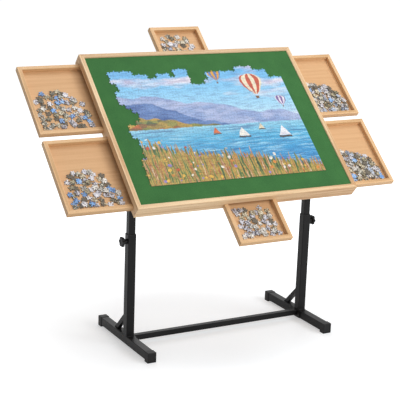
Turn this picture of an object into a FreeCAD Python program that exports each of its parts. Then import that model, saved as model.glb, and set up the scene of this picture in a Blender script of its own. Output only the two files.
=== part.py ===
"""A jigsaw puzzle table: a tilting board with six drawers on a telescopic steel stand.

X runs along the board, from left to right as the user sees it, +Y away from the user and +Z up.
The origin is on the floor, under the middle of the table's outline with its drawers drawn.
"""
import FreeCAD, Part
import math
import os
import re
import Sketcher

Vector = FreeCAD.Vector
LEFT, RIGHT = -1, 1
NEAR, FAR = -1, 1
X_AXIS, Y_AXIS, Z_AXIS = Vector(1, 0, 0), Vector(0, 1, 0), Vector(0, 0, 1)

# ---------------------------------------------------------------------------- driving sizes
# Millimetres and degrees. Every name has an underscore, which bound() goes by.
SIZES = [
    # The stand
    ("column_inset", 76, "from the board's side in to a column's axis"),
    ("tube_side", 30, "feet and outer columns, outside"),
    ("tube_wall", 1.5, "wall of the feet and columns"),
    ("tube_corner", 2.5, "outer corner radius of the feet and outer columns"),
    ("foot_front", 189, "from the columns' axis to the front end of a foot"),
    ("foot_rear", 226, "from the columns' axis to the rear end of a foot"),
    ("foot_clearance", 5.5, "from the floor to the underside of a foot tube"),
    ("cap_wall", 1.2, "plastic foot cap, sides and top"),
    ("cap_end", 2.5, "plastic foot cap, end plate"),
    ("cap_length", 26, "plastic foot cap, along the foot"),
    ("cap_round", 2.2, "edge radius of a foot cap"),
    ("cap_panel_inset", 6, "border round the sunk panel in a cap's end"),
    ("cap_panel_depth", 0.8, "depth of that panel"),
    ("outer_column_top", 405, "height of the outer column's top over the floor"),
    ("bush_lip", 2.5, "rim of the bush that lies on the column"),
    ("bush_depth", 17, "length of the bush inside the column"),
    ("brace_side", 15, "diagonal brace tube, outside"),
    ("brace_wall", 1.2, "diagonal brace tube, wall"),
    ("brace_foot", 88, "brace's middle on the foot, from the columns' axis"),
    ("bar_side", 20, "crossbar tube, outside"),
    ("bar_wall", 1.2, "crossbar tube, wall"),
    ("bar_corner", 1.5, "crossbar tube, corner radius"),
    ("bar_height", 25, "height of the crossbar's axis"),
    ("bar_plate_thickness", 3, "end plate of the crossbar"),
    ("bar_plate_length", 54, "end plate, along the foot"),
    ("bar_plate_height", 28, "end plate, upright"),
    ("bar_screw_spacing", 38, "between the two screws of an end plate"),
    ("bar_screw_radius", 3, "M6 screw"),
    ("bar_screw_length", 12, "M6 screw under its head"),
    ("bar_head_radius", 5.5, "button head"),
    ("bar_head_height", 3, "button head"),
    # The mast: inner columns and what they carry
    ("inner_side", 25, "inner column, outside"),
    ("inner_corner", 2, "inner column, corner radius"),
    ("slide_gap", 0.3, "between the inner column and its two guides, each side"),
    ("column_overlap", 150, "length of inner column inside the outer one"),
    ("plug_flange", 4, "guide flange under the inner column"),
    ("plug_depth", 12, "plastic plug inside a column end"),
    ("end_cap_flange", 2, "plastic cap on the inner column's top"),
    ("end_cap_depth", 7, "its stem inside the column"),
    ("pivot_height", 616, "height of the tilt pivot over the floor"),
    ("pivot_to_column_top", 13, "column above the pivot"),
    # Clamp knobs
    ("stud_radius", 4, "M8 studs and bolts"),
    ("running_gap", 0.05, "radial, between a turning stud or bolt and its hole"),
    ("hole_gap", 0.3, "radial, where a stud only passes through"),
    ("height_knob_drop", 24, "from the outer column's top down to the height knob"),
    ("boss_radius", 9, "weld nut on the outer column"),
    ("boss_length", 6, "weld nut on the outer column"),
    ("knob_radius", 18, "star knob"),
    ("knob_thickness", 10, "lobed part of the star knob"),
    ("knob_hub_radius", 8, "hub of the star knob"),
    ("knob_hub_length", 6, "hub of the star knob"),
    ("knob_hub_flare", 1.5, "hub's growth in radius up to the lobes"),
    ("knob_lobes", 6, "lobes of the star knob"),
    ("scallop_radius", 6.5, "hollow between two lobes"),
    ("scallop_out", 3.2, "from the knob's rim out to a hollow's centre"),
    ("knob_bevel", 1.4, "bevel round the lobes' edges"),
    ("knob_bore_depth", 12, "stud held in the knob"),
    ("knob_dish_radius", 7, "shallow dish in the knob's face"),
    ("knob_dish_depth", 0.8, "shallow dish in the knob's face"),
    ("seat_gap", 0.3, "between a knob and what it is tightened on"),
    # The tilt hardware
    ("rest_tilt", 41, "tilt of the board, degrees"),
    ("pivot_to_board", 42, "pivot below the board's underside"),
    ("pivot_to_middle", 134, "pivot to the board's middle, along the slope"),
    ("washer_thickness", 1.5, "washers on the pivot and the lock stud"),
    ("washer_radius", 9, "washers on the pivot and the lock stud"),
    ("bracket_gauge", 3, "steel of the tilt bracket"),
    ("bracket_bend", 2.4, "outer radius of the tilt bracket's bend"),
    ("quadrant_radius", 68, "round edge of the tilt bracket"),
    ("lock_radius", 55, "lock stud below the pivot"),
    ("lock_slot_gap", 0.2, "lock stud to the slot's sides"),
    ("tilt_highest", 55, "steepest tilt, degrees"),
    ("slot_spare", 3, "slot past either limit of the tilt, degrees"),
    ("flange_width", 43, "bracket flange, across"),
    ("flange_length", 180, "bracket flange, along the slope"),
    ("flange_screw_spread", 150, "flange screws, along the slope"),
    ("flange_screw_inset", 13, "flange screw from the flange's free edge"),
    ("wood_screw_radius", 2.2, "wood screw"),
    ("wood_screw_length", 13, "wood screw under its head"),
    ("wood_head_radius", 4.2, "pan head"),
    ("wood_head_height", 2.6, "pan head"),
    ("hex_head_radius", 7.5, "across the corners of an M8 hexagon, halved"),
    ("hex_head_height", 5.3, "head of an M8 bolt"),
    ("hex_nut_height", 6.5, "M8 nut"),
    ("thread_spare", 2, "thread past a nut"),
    ("cleat_width", 50, "wooden cleat under the board"),
    ("cleat_thickness", 12, "wooden cleat under the board"),
    ("cleat_end", 52.5, "from the board's edge in to a cleat's end"),
    # The board
    ("board_width", 870, "over the rails, left to right"),
    ("board_depth", 665, "over the rails, along the slope"),
    ("board_thickness", 48, "height of the rails"),
    ("rail_width", 17, "rail, across its top face"),
    ("rail_bevel", 2.2, "bevel along the inner top edge"),
    ("rail_round", 1.2, "rounding of the outer top edge"),
    ("felt_recess", 4, "felt below the rails' top"),
    ("felt_thickness", 2, "felt"),
    ("felt_trim", 0.2, "felt to the rails"),
    ("top_thickness", 5, "plywood under the felt"),
    ("top_groove", 5, "depth of the rails' groove for it"),
    ("bottom_thickness", 4.5, "plywood bottom"),
    ("bottom_rebate", 6, "depth of the rails' rebate for it"),
    ("fit_gap", 0.2, "panel to the bottom of its groove"),
    # The drawers
    ("drawer_gap", 28, "between the two drawers of one side"),
    ("drawer_corner", 24.5, "from the board's corner to a side drawer"),
    ("end_drawer_width", 206, "near and far drawers, along the rail"),
    ("stop_reach", 36, "from the board's middle to the near and far drawers' stop"),
    ("drawer_top", 24.5, "drawer's rim below the rails' top"),
    ("drawer_height", 18.5, "drawer's walls"),
    ("drawer_wall", 15, "drawer's walls, across"),
    ("drawer_round", 1.2, "rounding of the walls' upper edges"),
    ("drawer_floor", 3, "plywood floor"),
    ("floor_up", 1, "floor above the walls' lower edge"),
    ("floor_groove", 5, "depth of the walls' groove for it"),
    ("drawer_side_gap", 0.7, "drawer to its guides, each side"),
    ("drawer_lift_gap", 1, "slot above the drawer's rim"),
    ("drawer_under_gap", 0.3, "slot below the drawer"),
    ("kicker_gap", 0.3, "kicker above the drawer's rim"),
    ("kicker_reach", 10, "kicker over the drawer's edge"),
    ("stop_height", 2.5, "stop on the inner wall, above the rim"),
    ("stop_inset", 40, "stop to the drawer's sides"),
    ("left_out", 230, "left drawers, out of the rail"),
    ("right_out", 190, "right drawers, out of the rail"),
    ("near_out", 160, "near drawer, out of the rail"),
    ("far_out", 138, "far drawer, out of the rail"),
    ("shut_proud", 4, "how far a shut drawer stands out of the rail"),
    ("stop_gap", 0.5, "shut drawer to its stop"),
    ("divider_width", 18, "dividers beside the near and far drawers"),
    # The jigsaw
    ("piece_size", 18.3, "pitch of the pieces"),
    ("puzzle_columns", 38, "pieces in a full row"),
    ("puzzle_rows", 28, "pieces in a full column"),
    ("puzzle_thickness", 1.9, "board of the pieces"),
    ("puzzle_left", 355, "left edge, from the board's middle"),
    ("puzzle_near", 247, "near edge, from the board's middle"),
]

doc = FreeCAD.newDocument("PuzzleTable")
sheet = doc.addObject("Spreadsheet::Sheet", "Sizes")
for row, (name, number, meaning) in enumerate(SIZES, start=1):
    sheet.set(f"A{row}", name)
    sheet.set(f"B{row}", str(number))
    sheet.setAlias(f"B{row}", name)
    sheet.set(f"C{row}", meaning)
doc.recompute()

parts = []


# ---------------------------------------------------------------------------- formulas
def bound(formula):
    """The formula with its size names pointed at the sheet."""
    return re.sub(r"\b([a-z]+(?:_[a-z]+)+)\b", r"Sizes.\1", str(formula))


def size(formula):
    """The formula's value, as a number."""
    return float(sheet.evalExpression(bound(formula)))


def drive(item, field, formula):
    """Ties one field of an object to a formula."""
    item.setExpression(field, bound(formula))


# Heights in the board's own frame: 0 is the rails' top and below it is negative.
FELT_TOP = "-felt_recess"
PANEL_TOP = f"({FELT_TOP} - felt_thickness)"
PANEL_UNDER = f"({PANEL_TOP} - top_thickness)"
BOTTOM_TOP = "(bottom_thickness - board_thickness)"
INNER_HEIGHT = f"({PANEL_UNDER} - {BOTTOM_TOP})"
SLOT_TOP = "(drawer_lift_gap - drawer_top)"
DRAWER_UNDER = "(-drawer_top - drawer_height)"
SLOT_UNDER = f"({DRAWER_UNDER} - drawer_under_gap)"
KICKER_HEIGHT = f"({PANEL_UNDER} + drawer_top - kicker_gap)"
# Half lengths inside the rails, and the bay of the near and far drawers.
INNER_X = "(board_width / 2 - rail_width)"
INNER_Y = "(board_depth / 2 - rail_width)"
BAY_HALF = "(end_drawer_width / 2 + drawer_side_gap)"
DIVIDER_OUT = f"({BAY_HALF} + divider_width)"
SIDE_DRAWER_WIDTH = "((board_depth - drawer_gap) / 2 - drawer_corner)"
SIDE_DRAWER_AT = f"(({SIDE_DRAWER_WIDTH} + drawer_gap) / 2)"
# Shut, a side drawer stops at the divider and a near or far one at the block.
SIDE_DRAWER_DEPTH = f"(board_width / 2 + shut_proud - stop_gap - {DIVIDER_OUT})"
END_DRAWER_DEPTH = "(board_depth / 2 + shut_proud - stop_gap - stop_reach)"
# Across a column, from the mid-plane.
COLUMN_AT = "(board_width / 2 - column_inset)"
OUTER_FACE = f"({COLUMN_AT} + tube_side / 2)"
INNER_FACE = f"({COLUMN_AT} - tube_side / 2)"
MAST_OUTER_FACE = f"({COLUMN_AT} + inner_side / 2)"
MAST_INNER_FACE = f"({COLUMN_AT} - inner_side / 2)"
WEB_FACE = f"({MAST_INNER_FACE} - washer_thickness)"
FOOT_TOP = "(foot_clearance + tube_side)"
MAST_TOP = "(pivot_height + pivot_to_column_top)"
MAST_LENGTH = f"({MAST_TOP} - outer_column_top + column_overlap)"
PIVOT_TO_TOP = "(pivot_to_board + board_thickness)"
TILT = math.radians(size("rest_tilt"))
# How far a cut runs past the face that it opens.
OVERCUT = "1"


# ---------------------------------------------------------------------------- places
def board_frame():
    """Where the board's middle lies over the columns' axis, and how it is tilted."""
    up_slope = size("pivot_to_middle")
    above = size(PIVOT_TO_TOP)
    y = up_slope * math.cos(TILT) - above * math.sin(TILT)
    z = size("pivot_height") + up_slope * math.sin(TILT) + above * math.cos(TILT)
    return FreeCAD.Placement(Vector(0, y, z), FreeCAD.Rotation(X_AXIS, size("rest_tilt")))


def outline_middle(board):
    """The floor point under the middle of the table, with its drawers drawn."""
    half = size("board_depth / 2")
    x = size("right_out - left_out") / 2
    front = board.multVec(Vector(0, -half - size("near_out"), -size("drawer_top")))
    back = board.multVec(Vector(0, half + size("far_out"), size(DRAWER_UNDER)))
    return Vector(x, (front.y + back.y) / 2, 0)


TO_ORIGIN = FreeCAD.Placement(-outline_middle(board_frame()), FreeCAD.Rotation())
BOARD = TO_ORIGIN * board_frame()


def turned(angle, axis=Z_AXIS):
    return FreeCAD.Rotation(axis, angle)


def stand_at(x, y, z, turn=FreeCAD.Rotation()):
    """A place from the mid-plane, the columns' axis and the floor."""
    return TO_ORIGIN * FreeCAD.Placement(Vector(size(x), size(y), size(z)), turn)


def board_at(x, y, z, turn=FreeCAD.Rotation()):
    """A place on the tilted board, from the middle of its top."""
    return BOARD * FreeCAD.Placement(Vector(size(x), size(y), size(z)), turn)


def facing(side):
    """Turns a piece made along +Z so that it points out of the table's side."""
    return turned(90 * side, Y_AXIS)


# ---------------------------------------------------------------------------- sketches
def new_body(name):
    return doc.addObject("PartDesign::Body", name)


def plane(body, role):
    return next(item for item in body.Origin.OriginFeatures if item.Role == role)


def new_sketch(body, role="XY_Plane", offset="0"):
    """A sketch on one of the body's own planes, moved along that plane's normal."""
    sketch = body.newObject("Sketcher::SketchObject", "Sketch")
    sketch.AttachmentSupport = [(plane(body, role), "")]
    sketch.MapMode = "FlatFace"
    drive(sketch, "AttachmentOffset.Base.z", offset)
    return sketch


def dimension(sketch, kind, refs, formula):
    index = sketch.addConstraint(Sketcher.Constraint(kind, *refs, size(formula)))
    drive(sketch, f"Constraints[{index}]", formula)


def pin(sketch, geometry, point, x, y):
    """Fixes a point of the sketch at two formulas from the sketch's origin."""
    dimension(sketch, "DistanceX", (-1, 1, geometry, point), x)
    dimension(sketch, "DistanceY", (-1, 1, geometry, point), y)


def outline(sketch, corners):
    """A closed outline of straight lines through corners given as formulas."""
    points = [Vector(size(x), size(y), 0) for x, y in corners]
    first = sketch.GeometryCount
    count = len(points)
    for index, point in enumerate(points):
        sketch.addGeometry(Part.LineSegment(point, points[(index + 1) % count]), False)
    for index in range(count):
        following = first + (index + 1) % count
        sketch.addConstraint(Sketcher.Constraint("Coincident", first + index, 2, following, 1))
    for index, (x, y) in enumerate(corners):
        pin(sketch, first + index, 1, x, y)


def rectangle(sketch, left, low, right, high):
    outline(sketch, [(left, low), (right, low), (right, high), (left, high)])


def circle(sketch, x, y, radius):
    middle = Vector(size(x), size(y), 0)
    index = sketch.addGeometry(Part.Circle(middle, Z_AXIS, size(radius)), False)
    dimension(sketch, "Radius", (index,), radius)
    pin(sketch, index, 3, x, y)


def regular(sketch, sides, radius):
    """A regular polygon about the sketch's origin."""
    step = 360 / sides
    outline(
        sketch,
        [(f"{radius} * cos({step * i})", f"{radius} * sin({step * i})") for i in range(sides)],
    )


# ---------------------------------------------------------------------------- features
def pad(body, sketch, length, backwards=False):
    feature = body.newObject("PartDesign::Pad", "Pad")
    feature.Profile = sketch
    drive(feature, "Length", length)
    feature.Reversed = backwards
    doc.recompute()
    return feature


def pocket(body, sketch, depth=None, backwards=False):
    """Cuts the sketch to a depth, or right through on both sides of its plane."""
    before = body.Shape.Volume
    feature = body.newObject("PartDesign::Pocket", "Pocket")
    feature.Profile = sketch
    if depth is None:
        feature.Type = "ThroughAll"
        feature.Midplane = True
    else:
        drive(feature, "Length", depth)
        feature.Reversed = backwards
    doc.recompute()
    if body.Shape.Volume >= before:
        raise RuntimeError(f"{body.Label}: {feature.Label} cuts nothing")
    return feature


def drill(body, role, x, y, radius):
    """A round hole right through the body, square to one of its planes."""
    sketch = new_sketch(body, role)
    circle(sketch, x, y, radius)
    return pocket(body, sketch)


def edges_where(shape, test):
    """Names of the shape's edges whose middle passes the test."""
    names = []
    for index, edge in enumerate(shape.Edges, start=1):
        middle = edge.valueAt((edge.FirstParameter + edge.LastParameter) / 2)
        if test(edge, middle):
            names.append(f"Edge{index}")
    return names


def soften(body, kind, radius, test):
    """Rounds (Fillet) or bevels (Chamfer) the tip's edges that pass the test."""
    tip = body.Tip
    names = edges_where(tip.Shape, test)
    feature = body.newObject(f"PartDesign::{kind}", kind)
    feature.Base = (tip, names)
    drive(feature, "Radius" if kind == "Fillet" else "Size", radius)
    doc.recompute()
    return feature


def near(a, b):
    return abs(a - b) < 1e-3


def along(edge, axis):
    """True for a straight edge that runs along the axis."""
    if edge.Curve.TypeId != "Part::GeomLine":
        return False
    return abs(edge.Curve.Direction.dot(axis)) > 0.999


# ---------------------------------------------------------------------------- stock pieces
def box(name, length, width, height, place):
    item = doc.addObject("Part::Box", name)
    drive(item, "Length", length)
    drive(item, "Width", width)
    drive(item, "Height", height)
    item.Placement = place
    return item


def cylinder(name, radius, height, place):
    item = doc.addObject("Part::Cylinder", name)
    drive(item, "Radius", radius)
    drive(item, "Height", height)
    item.Placement = place
    return item


def fuse(name, pieces):
    item = doc.addObject("Part::MultiFuse", name)
    item.Shapes = pieces
    return item


def square_tube(name, side, wall, corner, length):
    """A square tube with rounded corners, standing on its own origin."""
    body = new_body(name)
    sketch = new_sketch(body)
    half, bore = f"{side} / 2", f"({side} / 2 - {wall})"
    rectangle(sketch, f"-{half}", f"-{half}", half, half)
    rectangle(sketch, f"-{bore}", f"-{bore}", bore, bore)
    pad(body, sketch, length)
    reach = size(half)
    soften(
        body,
        "Fillet",
        corner,
        lambda edge, at: along(edge, Z_AXIS) and near(abs(at.x), reach) and near(abs(at.y), reach),
    )
    return body


def mitred_bar(name, length, width, height):
    """A wooden bar with mitred ends: outer face on y = 0, top on z = 0."""
    body = new_body(name)
    sketch = new_sketch(body)
    half, short = f"({length}) / 2", f"(({length}) / 2 - {width})"
    outline(sketch, [(f"-{half}", "0"), (half, "0"), (short, width), (f"-{short}", width)])
    pad(body, sketch, height, backwards=True)
    return body


def groove(body, start, end, low, high):
    """Ploughs the bar from end to end, between two depths and two heights."""
    sketch = new_sketch(body, "YZ_Plane")
    rectangle(sketch, start, low, end, high)
    return pocket(body, sketch)


def hex_prism(name, radius, height, place):
    """A hexagon bolt head or a nut's blank, standing on its own origin."""
    body = new_body(name)
    sketch = new_sketch(body)
    regular(sketch, 6, radius)
    pad(body, sketch, height)
    body.Placement = place
    return body


# ---------------------------------------------------------------------------- keeping parts
def keep(name, item, place=None):
    """Names a finished piece, which also names its file."""
    item.Label = name
    if place is not None:
        item.Placement = place
    parts.append(item)
    return item


def keep_group(name, pieces):
    """Keeps like pieces in one node, each still a solid of its own."""
    item = doc.addObject("Part::Compound", name)
    item.Links = pieces
    return keep(name, item)


SIDES = ((LEFT, "left"), (RIGHT, "right"))


# ---------------------------------------------------------------------------- the stand
def foot_tubes():
    """A square tube under each column, drilled for the crossbar's screws."""
    length = "(foot_front + foot_rear - 2 * cap_end)"
    for side, word in SIDES:
        body = square_tube(f"foot_tube_{word}", "tube_side", "tube_wall", "tube_corner", length)
        sketch = new_sketch(body, "YZ_Plane")
        for end in (-1, 1):
            along_foot = f"(foot_front - cap_end + {end} * bar_screw_spacing / 2)"
            circle(sketch, "foot_clearance + tube_side / 2 - bar_height", along_foot, "bar_screw_radius")
        pocket(body, sketch, "tube_side", backwards=side == LEFT)
        place = stand_at(
            f"{side} * {COLUMN_AT}",
            "cap_end - foot_front",
            "foot_clearance + tube_side / 2",
            turned(-90, X_AXIS),
        )
        keep(f"foot_tube_{word}", body, place)


def foot_cap(name, place):
    """A plastic sleeve over a foot's end, with its glide pad below: the end plate is on y = 0."""
    body = new_body(name)
    half = "(tube_side / 2 + cap_wall)"
    top = f"({FOOT_TOP} + cap_wall)"
    block = new_sketch(body, "XZ_Plane")
    rectangle(block, f"-{half}", "0", half, top)
    pad(body, block, "cap_length", backwards=True)
    rounding = size("cap_round")
    reach, height = size(half), size(top)
    soften(
        body,
        "Fillet",
        "cap_round",
        lambda edge, at: near(at.y, 0) or (near(abs(at.x), reach) and near(at.z, height)),
    )
    tube = new_sketch(body, "XZ_Plane", "-cap_end")
    rectangle(tube, "-tube_side / 2", "foot_clearance", "tube_side / 2", FOOT_TOP)
    pocket(body, tube, "cap_length")
    panel = new_sketch(body, "XZ_Plane")
    inset = f"({half} - cap_panel_inset)"
    rectangle(panel, f"-{inset}", "cap_panel_inset", inset, f"{top} - cap_panel_inset")
    pocket(body, panel, "cap_panel_depth")
    body.Placement = place
    return body


def foot_caps():
    caps = []
    for side, word in SIDES:
        x = f"{side} * {COLUMN_AT}"
        caps.append(foot_cap(f"cap_front_{word}", stand_at(x, "-foot_front", "0")))
        caps.append(foot_cap(f"cap_rear_{word}", stand_at(x, "foot_rear", "0", turned(180))))
    keep_group("foot_caps", caps)


def outer_columns():
    """The fixed tubes, each drilled on its outer side for the height knob's stud."""
    length = f"(outer_column_top - {FOOT_TOP})"
    for side, word in SIDES:
        body = square_tube(f"outer_column_{word}", "tube_side", "tube_wall", "tube_corner", length)
        sketch = new_sketch(body, "YZ_Plane")
        circle(sketch, "0", f"{length} - height_knob_drop", "stud_radius + hole_gap")
        pocket(body, sketch, "tube_side", backwards=side == RIGHT)
        keep(f"outer_column_{word}", body, stand_at(f"{side} * {COLUMN_AT}", "0", FOOT_TOP))


def column_bushes():
    """Plastic guides in the outer columns' tops, each with a rim that lies on the tube."""
    bore = "(inner_side / 2 + slide_gap)"
    stem = "(tube_side / 2 - tube_wall)"
    bushes = []
    for side, word in SIDES:
        body = new_body(f"bush_{word}")
        rim = new_sketch(body)
        rectangle(rim, "-tube_side / 2", "-tube_side / 2", "tube_side / 2", "tube_side / 2")
        pad(body, rim, "bush_lip")
        sleeve = new_sketch(body)
        rectangle(sleeve, f"-{stem}", f"-{stem}", stem, stem)
        pad(body, sleeve, "bush_depth", backwards=True)
        hollow = new_sketch(body)
        rectangle(hollow, f"-{bore}", f"-{bore}", bore, bore)
        pocket(body, hollow)
        reach = size("tube_side / 2")
        soften(
            body,
            "Fillet",
            "tube_corner",
            lambda edge, at: along(edge, Z_AXIS) and near(abs(at.x), reach) and near(abs(at.y), reach),
        )
        body.Placement = stand_at(f"{side} * {COLUMN_AT}", "0", "outer_column_top")
        bushes.append(body)
    keep_group("column_bushes", bushes)


def brace(name, place):
    """A small tube at 45 degrees, mitred onto the foot and onto the column's back."""
    body = new_body(name)
    back = "tube_side / 2"
    middle = "brace_foot"
    half = "(brace_side * sqrt(2) / 2)"
    hollow = "((brace_side / 2 - brace_wall) * sqrt(2))"
    rise = f"({middle} - {back})"

    def band(sketch, spread):
        outline(
            sketch,
            [
                (f"{middle} - {spread}", "0"),
                (f"{middle} + {spread}", "0"),
                (back, f"{rise} + {spread}"),
                (back, f"{rise} - {spread}"),
            ],
        )

    solid = new_sketch(body, "YZ_Plane", "-brace_side / 2")
    band(solid, half)
    pad(body, solid, "brace_side")
    bore = new_sketch(body, "YZ_Plane", "-(brace_side / 2 - brace_wall)")
    band(bore, hollow)
    pocket(body, bore, "brace_side - 2 * brace_wall", backwards=True)
    body.Placement = place
    return body


def braces():
    pieces = [
        brace(f"brace_{word}", stand_at(f"{side} * {COLUMN_AT}", "0", FOOT_TOP))
        for side, word in SIDES
    ]
    keep_group("braces", pieces)


def crossbar():
    """The low bar between the feet, its two end plates and their screws."""
    length = f"(2 * {INNER_FACE} - 2 * bar_plate_thickness)"
    bar = square_tube("crossbar", "bar_side", "bar_wall", "bar_corner", length)
    keep("crossbar", bar, stand_at(f"-{length} / 2", "0", "bar_height", turned(90, Y_AXIS)))
    plates, screws = [], []
    low = "(foot_clearance + tube_side / 2 - bar_plate_height / 2)"
    for side, word in SIDES:
        plate = new_body(f"bar_plate_{word}")
        sketch = new_sketch(plate, "YZ_Plane")
        rectangle(
            sketch,
            "-bar_plate_length / 2",
            low,
            "bar_plate_length / 2",
            f"{low} + bar_plate_height",
        )
        for end in (-1, 1):
            circle(sketch, f"{end} * bar_screw_spacing / 2", "bar_height", "bar_screw_radius")
        pad(plate, sketch, "bar_plate_thickness", backwards=side == RIGHT)
        plate.Placement = stand_at(f"{side} * {INNER_FACE}", "0", "0")
        plates.append(plate)
        for end in (-1, 1):
            head_at = f"{side} * ({INNER_FACE} - bar_plate_thickness)"
            y = f"{end} * bar_screw_spacing / 2"
            screws.append(button_screw(f"bar_screw_{word}_{end}", head_at, y, side))
    keep_group("crossbar_plates", plates)
    keep_group("crossbar_screws", screws)


def button_screw(name, x, y, side):
    """A button-head screw driven outwards through an end plate into the foot."""
    shank = cylinder(
        f"{name}_shank",
        "bar_screw_radius",
        "bar_screw_length",
        stand_at(x, y, "bar_height", facing(side)),
    )
    head = cylinder(
        f"{name}_head",
        "bar_head_radius",
        "bar_head_height",
        stand_at(x, y, "bar_height", facing(-side)),
    )
    return fuse(name, [shank, head])


def knob_bosses():
    """The weld nuts on the outer columns that the height knobs screw into."""
    bosses = []
    for side, word in SIDES:
        body = new_body(f"boss_{word}")
        sketch = new_sketch(body)
        circle(sketch, "0", "0", "boss_radius")
        circle(sketch, "0", "0", "stud_radius + running_gap")
        pad(body, sketch, "boss_length")
        x = f"{side} * {OUTER_FACE}"
        body.Placement = stand_at(x, "0", "outer_column_top - height_knob_drop", facing(side))
        bosses.append(body)
    keep_group("knob_bosses", bosses)


# ---------------------------------------------------------------------------- the mast
def inner_columns():
    """The sliding tubes, each drilled through for the pivot bolt and the lock stud."""
    for side, word in SIDES:
        body = square_tube(
            f"inner_column_{word}", "inner_side", "tube_wall", "inner_corner", MAST_LENGTH
        )
        pivot = f"({MAST_LENGTH} - pivot_to_column_top)"
        drill(body, "YZ_Plane", "0", pivot, "stud_radius")
        drill(body, "YZ_Plane", "0", f"{pivot} - lock_radius", "stud_radius + hole_gap")
        place = stand_at(
            f"{side} * {COLUMN_AT}", "0", "outer_column_top - column_overlap"
        )
        keep(f"inner_column_{word}", body, place)


def stepped_plug(name, flange, flange_height, stem_height, place):
    """A plastic plug: a square flange on z = 0 and below, its stem above, in the tube."""
    body = new_body(name)
    rim = new_sketch(body)
    rectangle(rim, f"-{flange}", f"-{flange}", flange, flange)
    pad(body, rim, flange_height, backwards=True)
    stem = new_sketch(body)
    reach = "(inner_side / 2 - tube_wall)"
    rectangle(stem, f"-{reach}", f"-{reach}", reach, reach)
    pad(body, stem, stem_height)
    body.Placement = place
    return body


def column_ends():
    """The guide plugs under the inner columns and the caps on their tops."""
    guide = "(tube_side / 2 - tube_wall - slide_gap)"
    plugs, caps = [], []
    for side, word in SIDES:
        x = f"{side} * {COLUMN_AT}"
        foot = stand_at(x, "0", "outer_column_top - column_overlap")
        head = stand_at(x, "0", MAST_TOP, turned(180, X_AXIS))
        plugs.append(stepped_plug(f"plug_{word}", guide, "plug_flange", "plug_depth", foot))
        caps.append(
            stepped_plug(f"top_cap_{word}", "(inner_side / 2)", "end_cap_flange", "end_cap_depth", head)
        )
    keep_group("column_plugs", plugs)
    keep_group("column_caps", caps)


def washer(name, x, z, side):
    ring = new_body(name)
    sketch = new_sketch(ring)
    circle(sketch, "0", "0", "washer_radius")
    circle(sketch, "0", "0", "stud_radius + running_gap")
    pad(ring, sketch, "washer_thickness")
    ring.Placement = stand_at(x, "0", z, facing(side))
    return ring


def pivot_hardware():
    """Pivot bolts, washers and nuts, and the nuts that the lock studs screw into."""
    bolts, nuts, washers, lock_nuts = [], [], [], []
    lock_height = "pivot_height - lock_radius"
    nut_face = f"({WEB_FACE} - bracket_gauge - seat_gap)"
    for side, word in SIDES:
        head_face = f"{side} * ({MAST_OUTER_FACE} + washer_thickness)"
        reach = (
            f"({MAST_OUTER_FACE} + washer_thickness - {nut_face} + hex_nut_height + thread_spare)"
        )
        shank = cylinder(
            f"pivot_shank_{word}",
            "stud_radius",
            reach,
            stand_at(head_face, "0", "pivot_height", facing(-side)),
        )
        head = hex_prism(
            f"pivot_head_{word}",
            "hex_head_radius",
            "hex_head_height",
            stand_at(head_face, "0", "pivot_height", facing(side)),
        )
        bolts.append(fuse(f"pivot_bolt_{word}", [shank, head]))
        for z, row, list_of_nuts in (
            ("pivot_height", "pivot", nuts),
            (lock_height, "lock", lock_nuts),
        ):
            nut = hex_nut(f"{row}_nut_{word}", row == "lock")
            nut.Placement = stand_at(f"{side} * {nut_face}", "0", z, facing(-side))
            list_of_nuts.append(nut)
            outer = f"{side} * {MAST_OUTER_FACE}"
            inner = f"{side} * {MAST_INNER_FACE}"
            washers.append(washer(f"{row}_washer_out_{word}", outer, z, side))
            washers.append(washer(f"{row}_washer_in_{word}", inner, z, -side))
    keep_group("pivot_bolts", bolts)
    keep_group("pivot_nuts", nuts)
    keep_group("lock_nuts", lock_nuts)
    keep_group("spacer_washers", washers)


def hex_nut(name, turning):
    """A nut; one that a knob's stud turns in has running clearance."""
    body = new_body(name)
    sketch = new_sketch(body)
    regular(sketch, 6, "hex_head_radius")
    circle(sketch, "0", "0", "stud_radius + running_gap" if turning else "stud_radius")
    pad(body, sketch, "hex_nut_height")
    return body


# ---------------------------------------------------------------------------- clamp knobs
def star_knob(name, place):
    """A lobed grip on a hub: the hub's seat is on z = 0 and the grip points along +Z."""
    body = new_body(name)
    profile = new_sketch(body, "XZ_Plane")
    top = "(knob_hub_length + knob_thickness)"
    outline(
        profile,
        [
            ("0", "0"),
            ("knob_hub_radius", "0"),
            ("knob_hub_radius + knob_hub_flare", "knob_hub_length"),
            ("knob_radius", "knob_hub_length"),
            ("knob_radius", top),
            ("0", top),
        ],
    )
    turned_blank = body.newObject("PartDesign::Revolution", "Blank")
    turned_blank.Profile = profile
    turned_blank.ReferenceAxis = (profile, ["V_Axis"])
    turned_blank.Angle = 360
    doc.recompute()
    scallop = new_sketch(body, "XY_Plane", "knob_hub_length")
    circle(scallop, "knob_radius + scallop_out", "0", "scallop_radius")
    hollow = pocket(body, scallop, f"knob_thickness + {OVERCUT}", backwards=True)
    pattern = body.newObject("PartDesign::PolarPattern", "Lobes")
    pattern.Originals = [hollow]
    pattern.Axis = (scallop, ["N_Axis"])
    pattern.Angle = 360
    drive(pattern, "Occurrences", "knob_lobes")
    body.Tip = pattern
    doc.recompute()
    low, high, hub = size("knob_hub_length"), size(top), size("knob_hub_radius + knob_hub_flare")

    def on_lobes(edge, at):
        return (near(at.z, low) or near(at.z, high)) and not near(math.hypot(at.x, at.y), hub)

    soften(body, "Chamfer", "knob_bevel", on_lobes)
    dish = new_sketch(body, "XY_Plane", top)
    circle(dish, "0", "0", "knob_dish_radius")
    pocket(body, dish, "knob_dish_depth")
    bore = new_sketch(body)
    circle(bore, "0", "0", "stud_radius")
    pocket(body, bore, "knob_bore_depth", backwards=True)
    body.Placement = place
    return body


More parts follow.
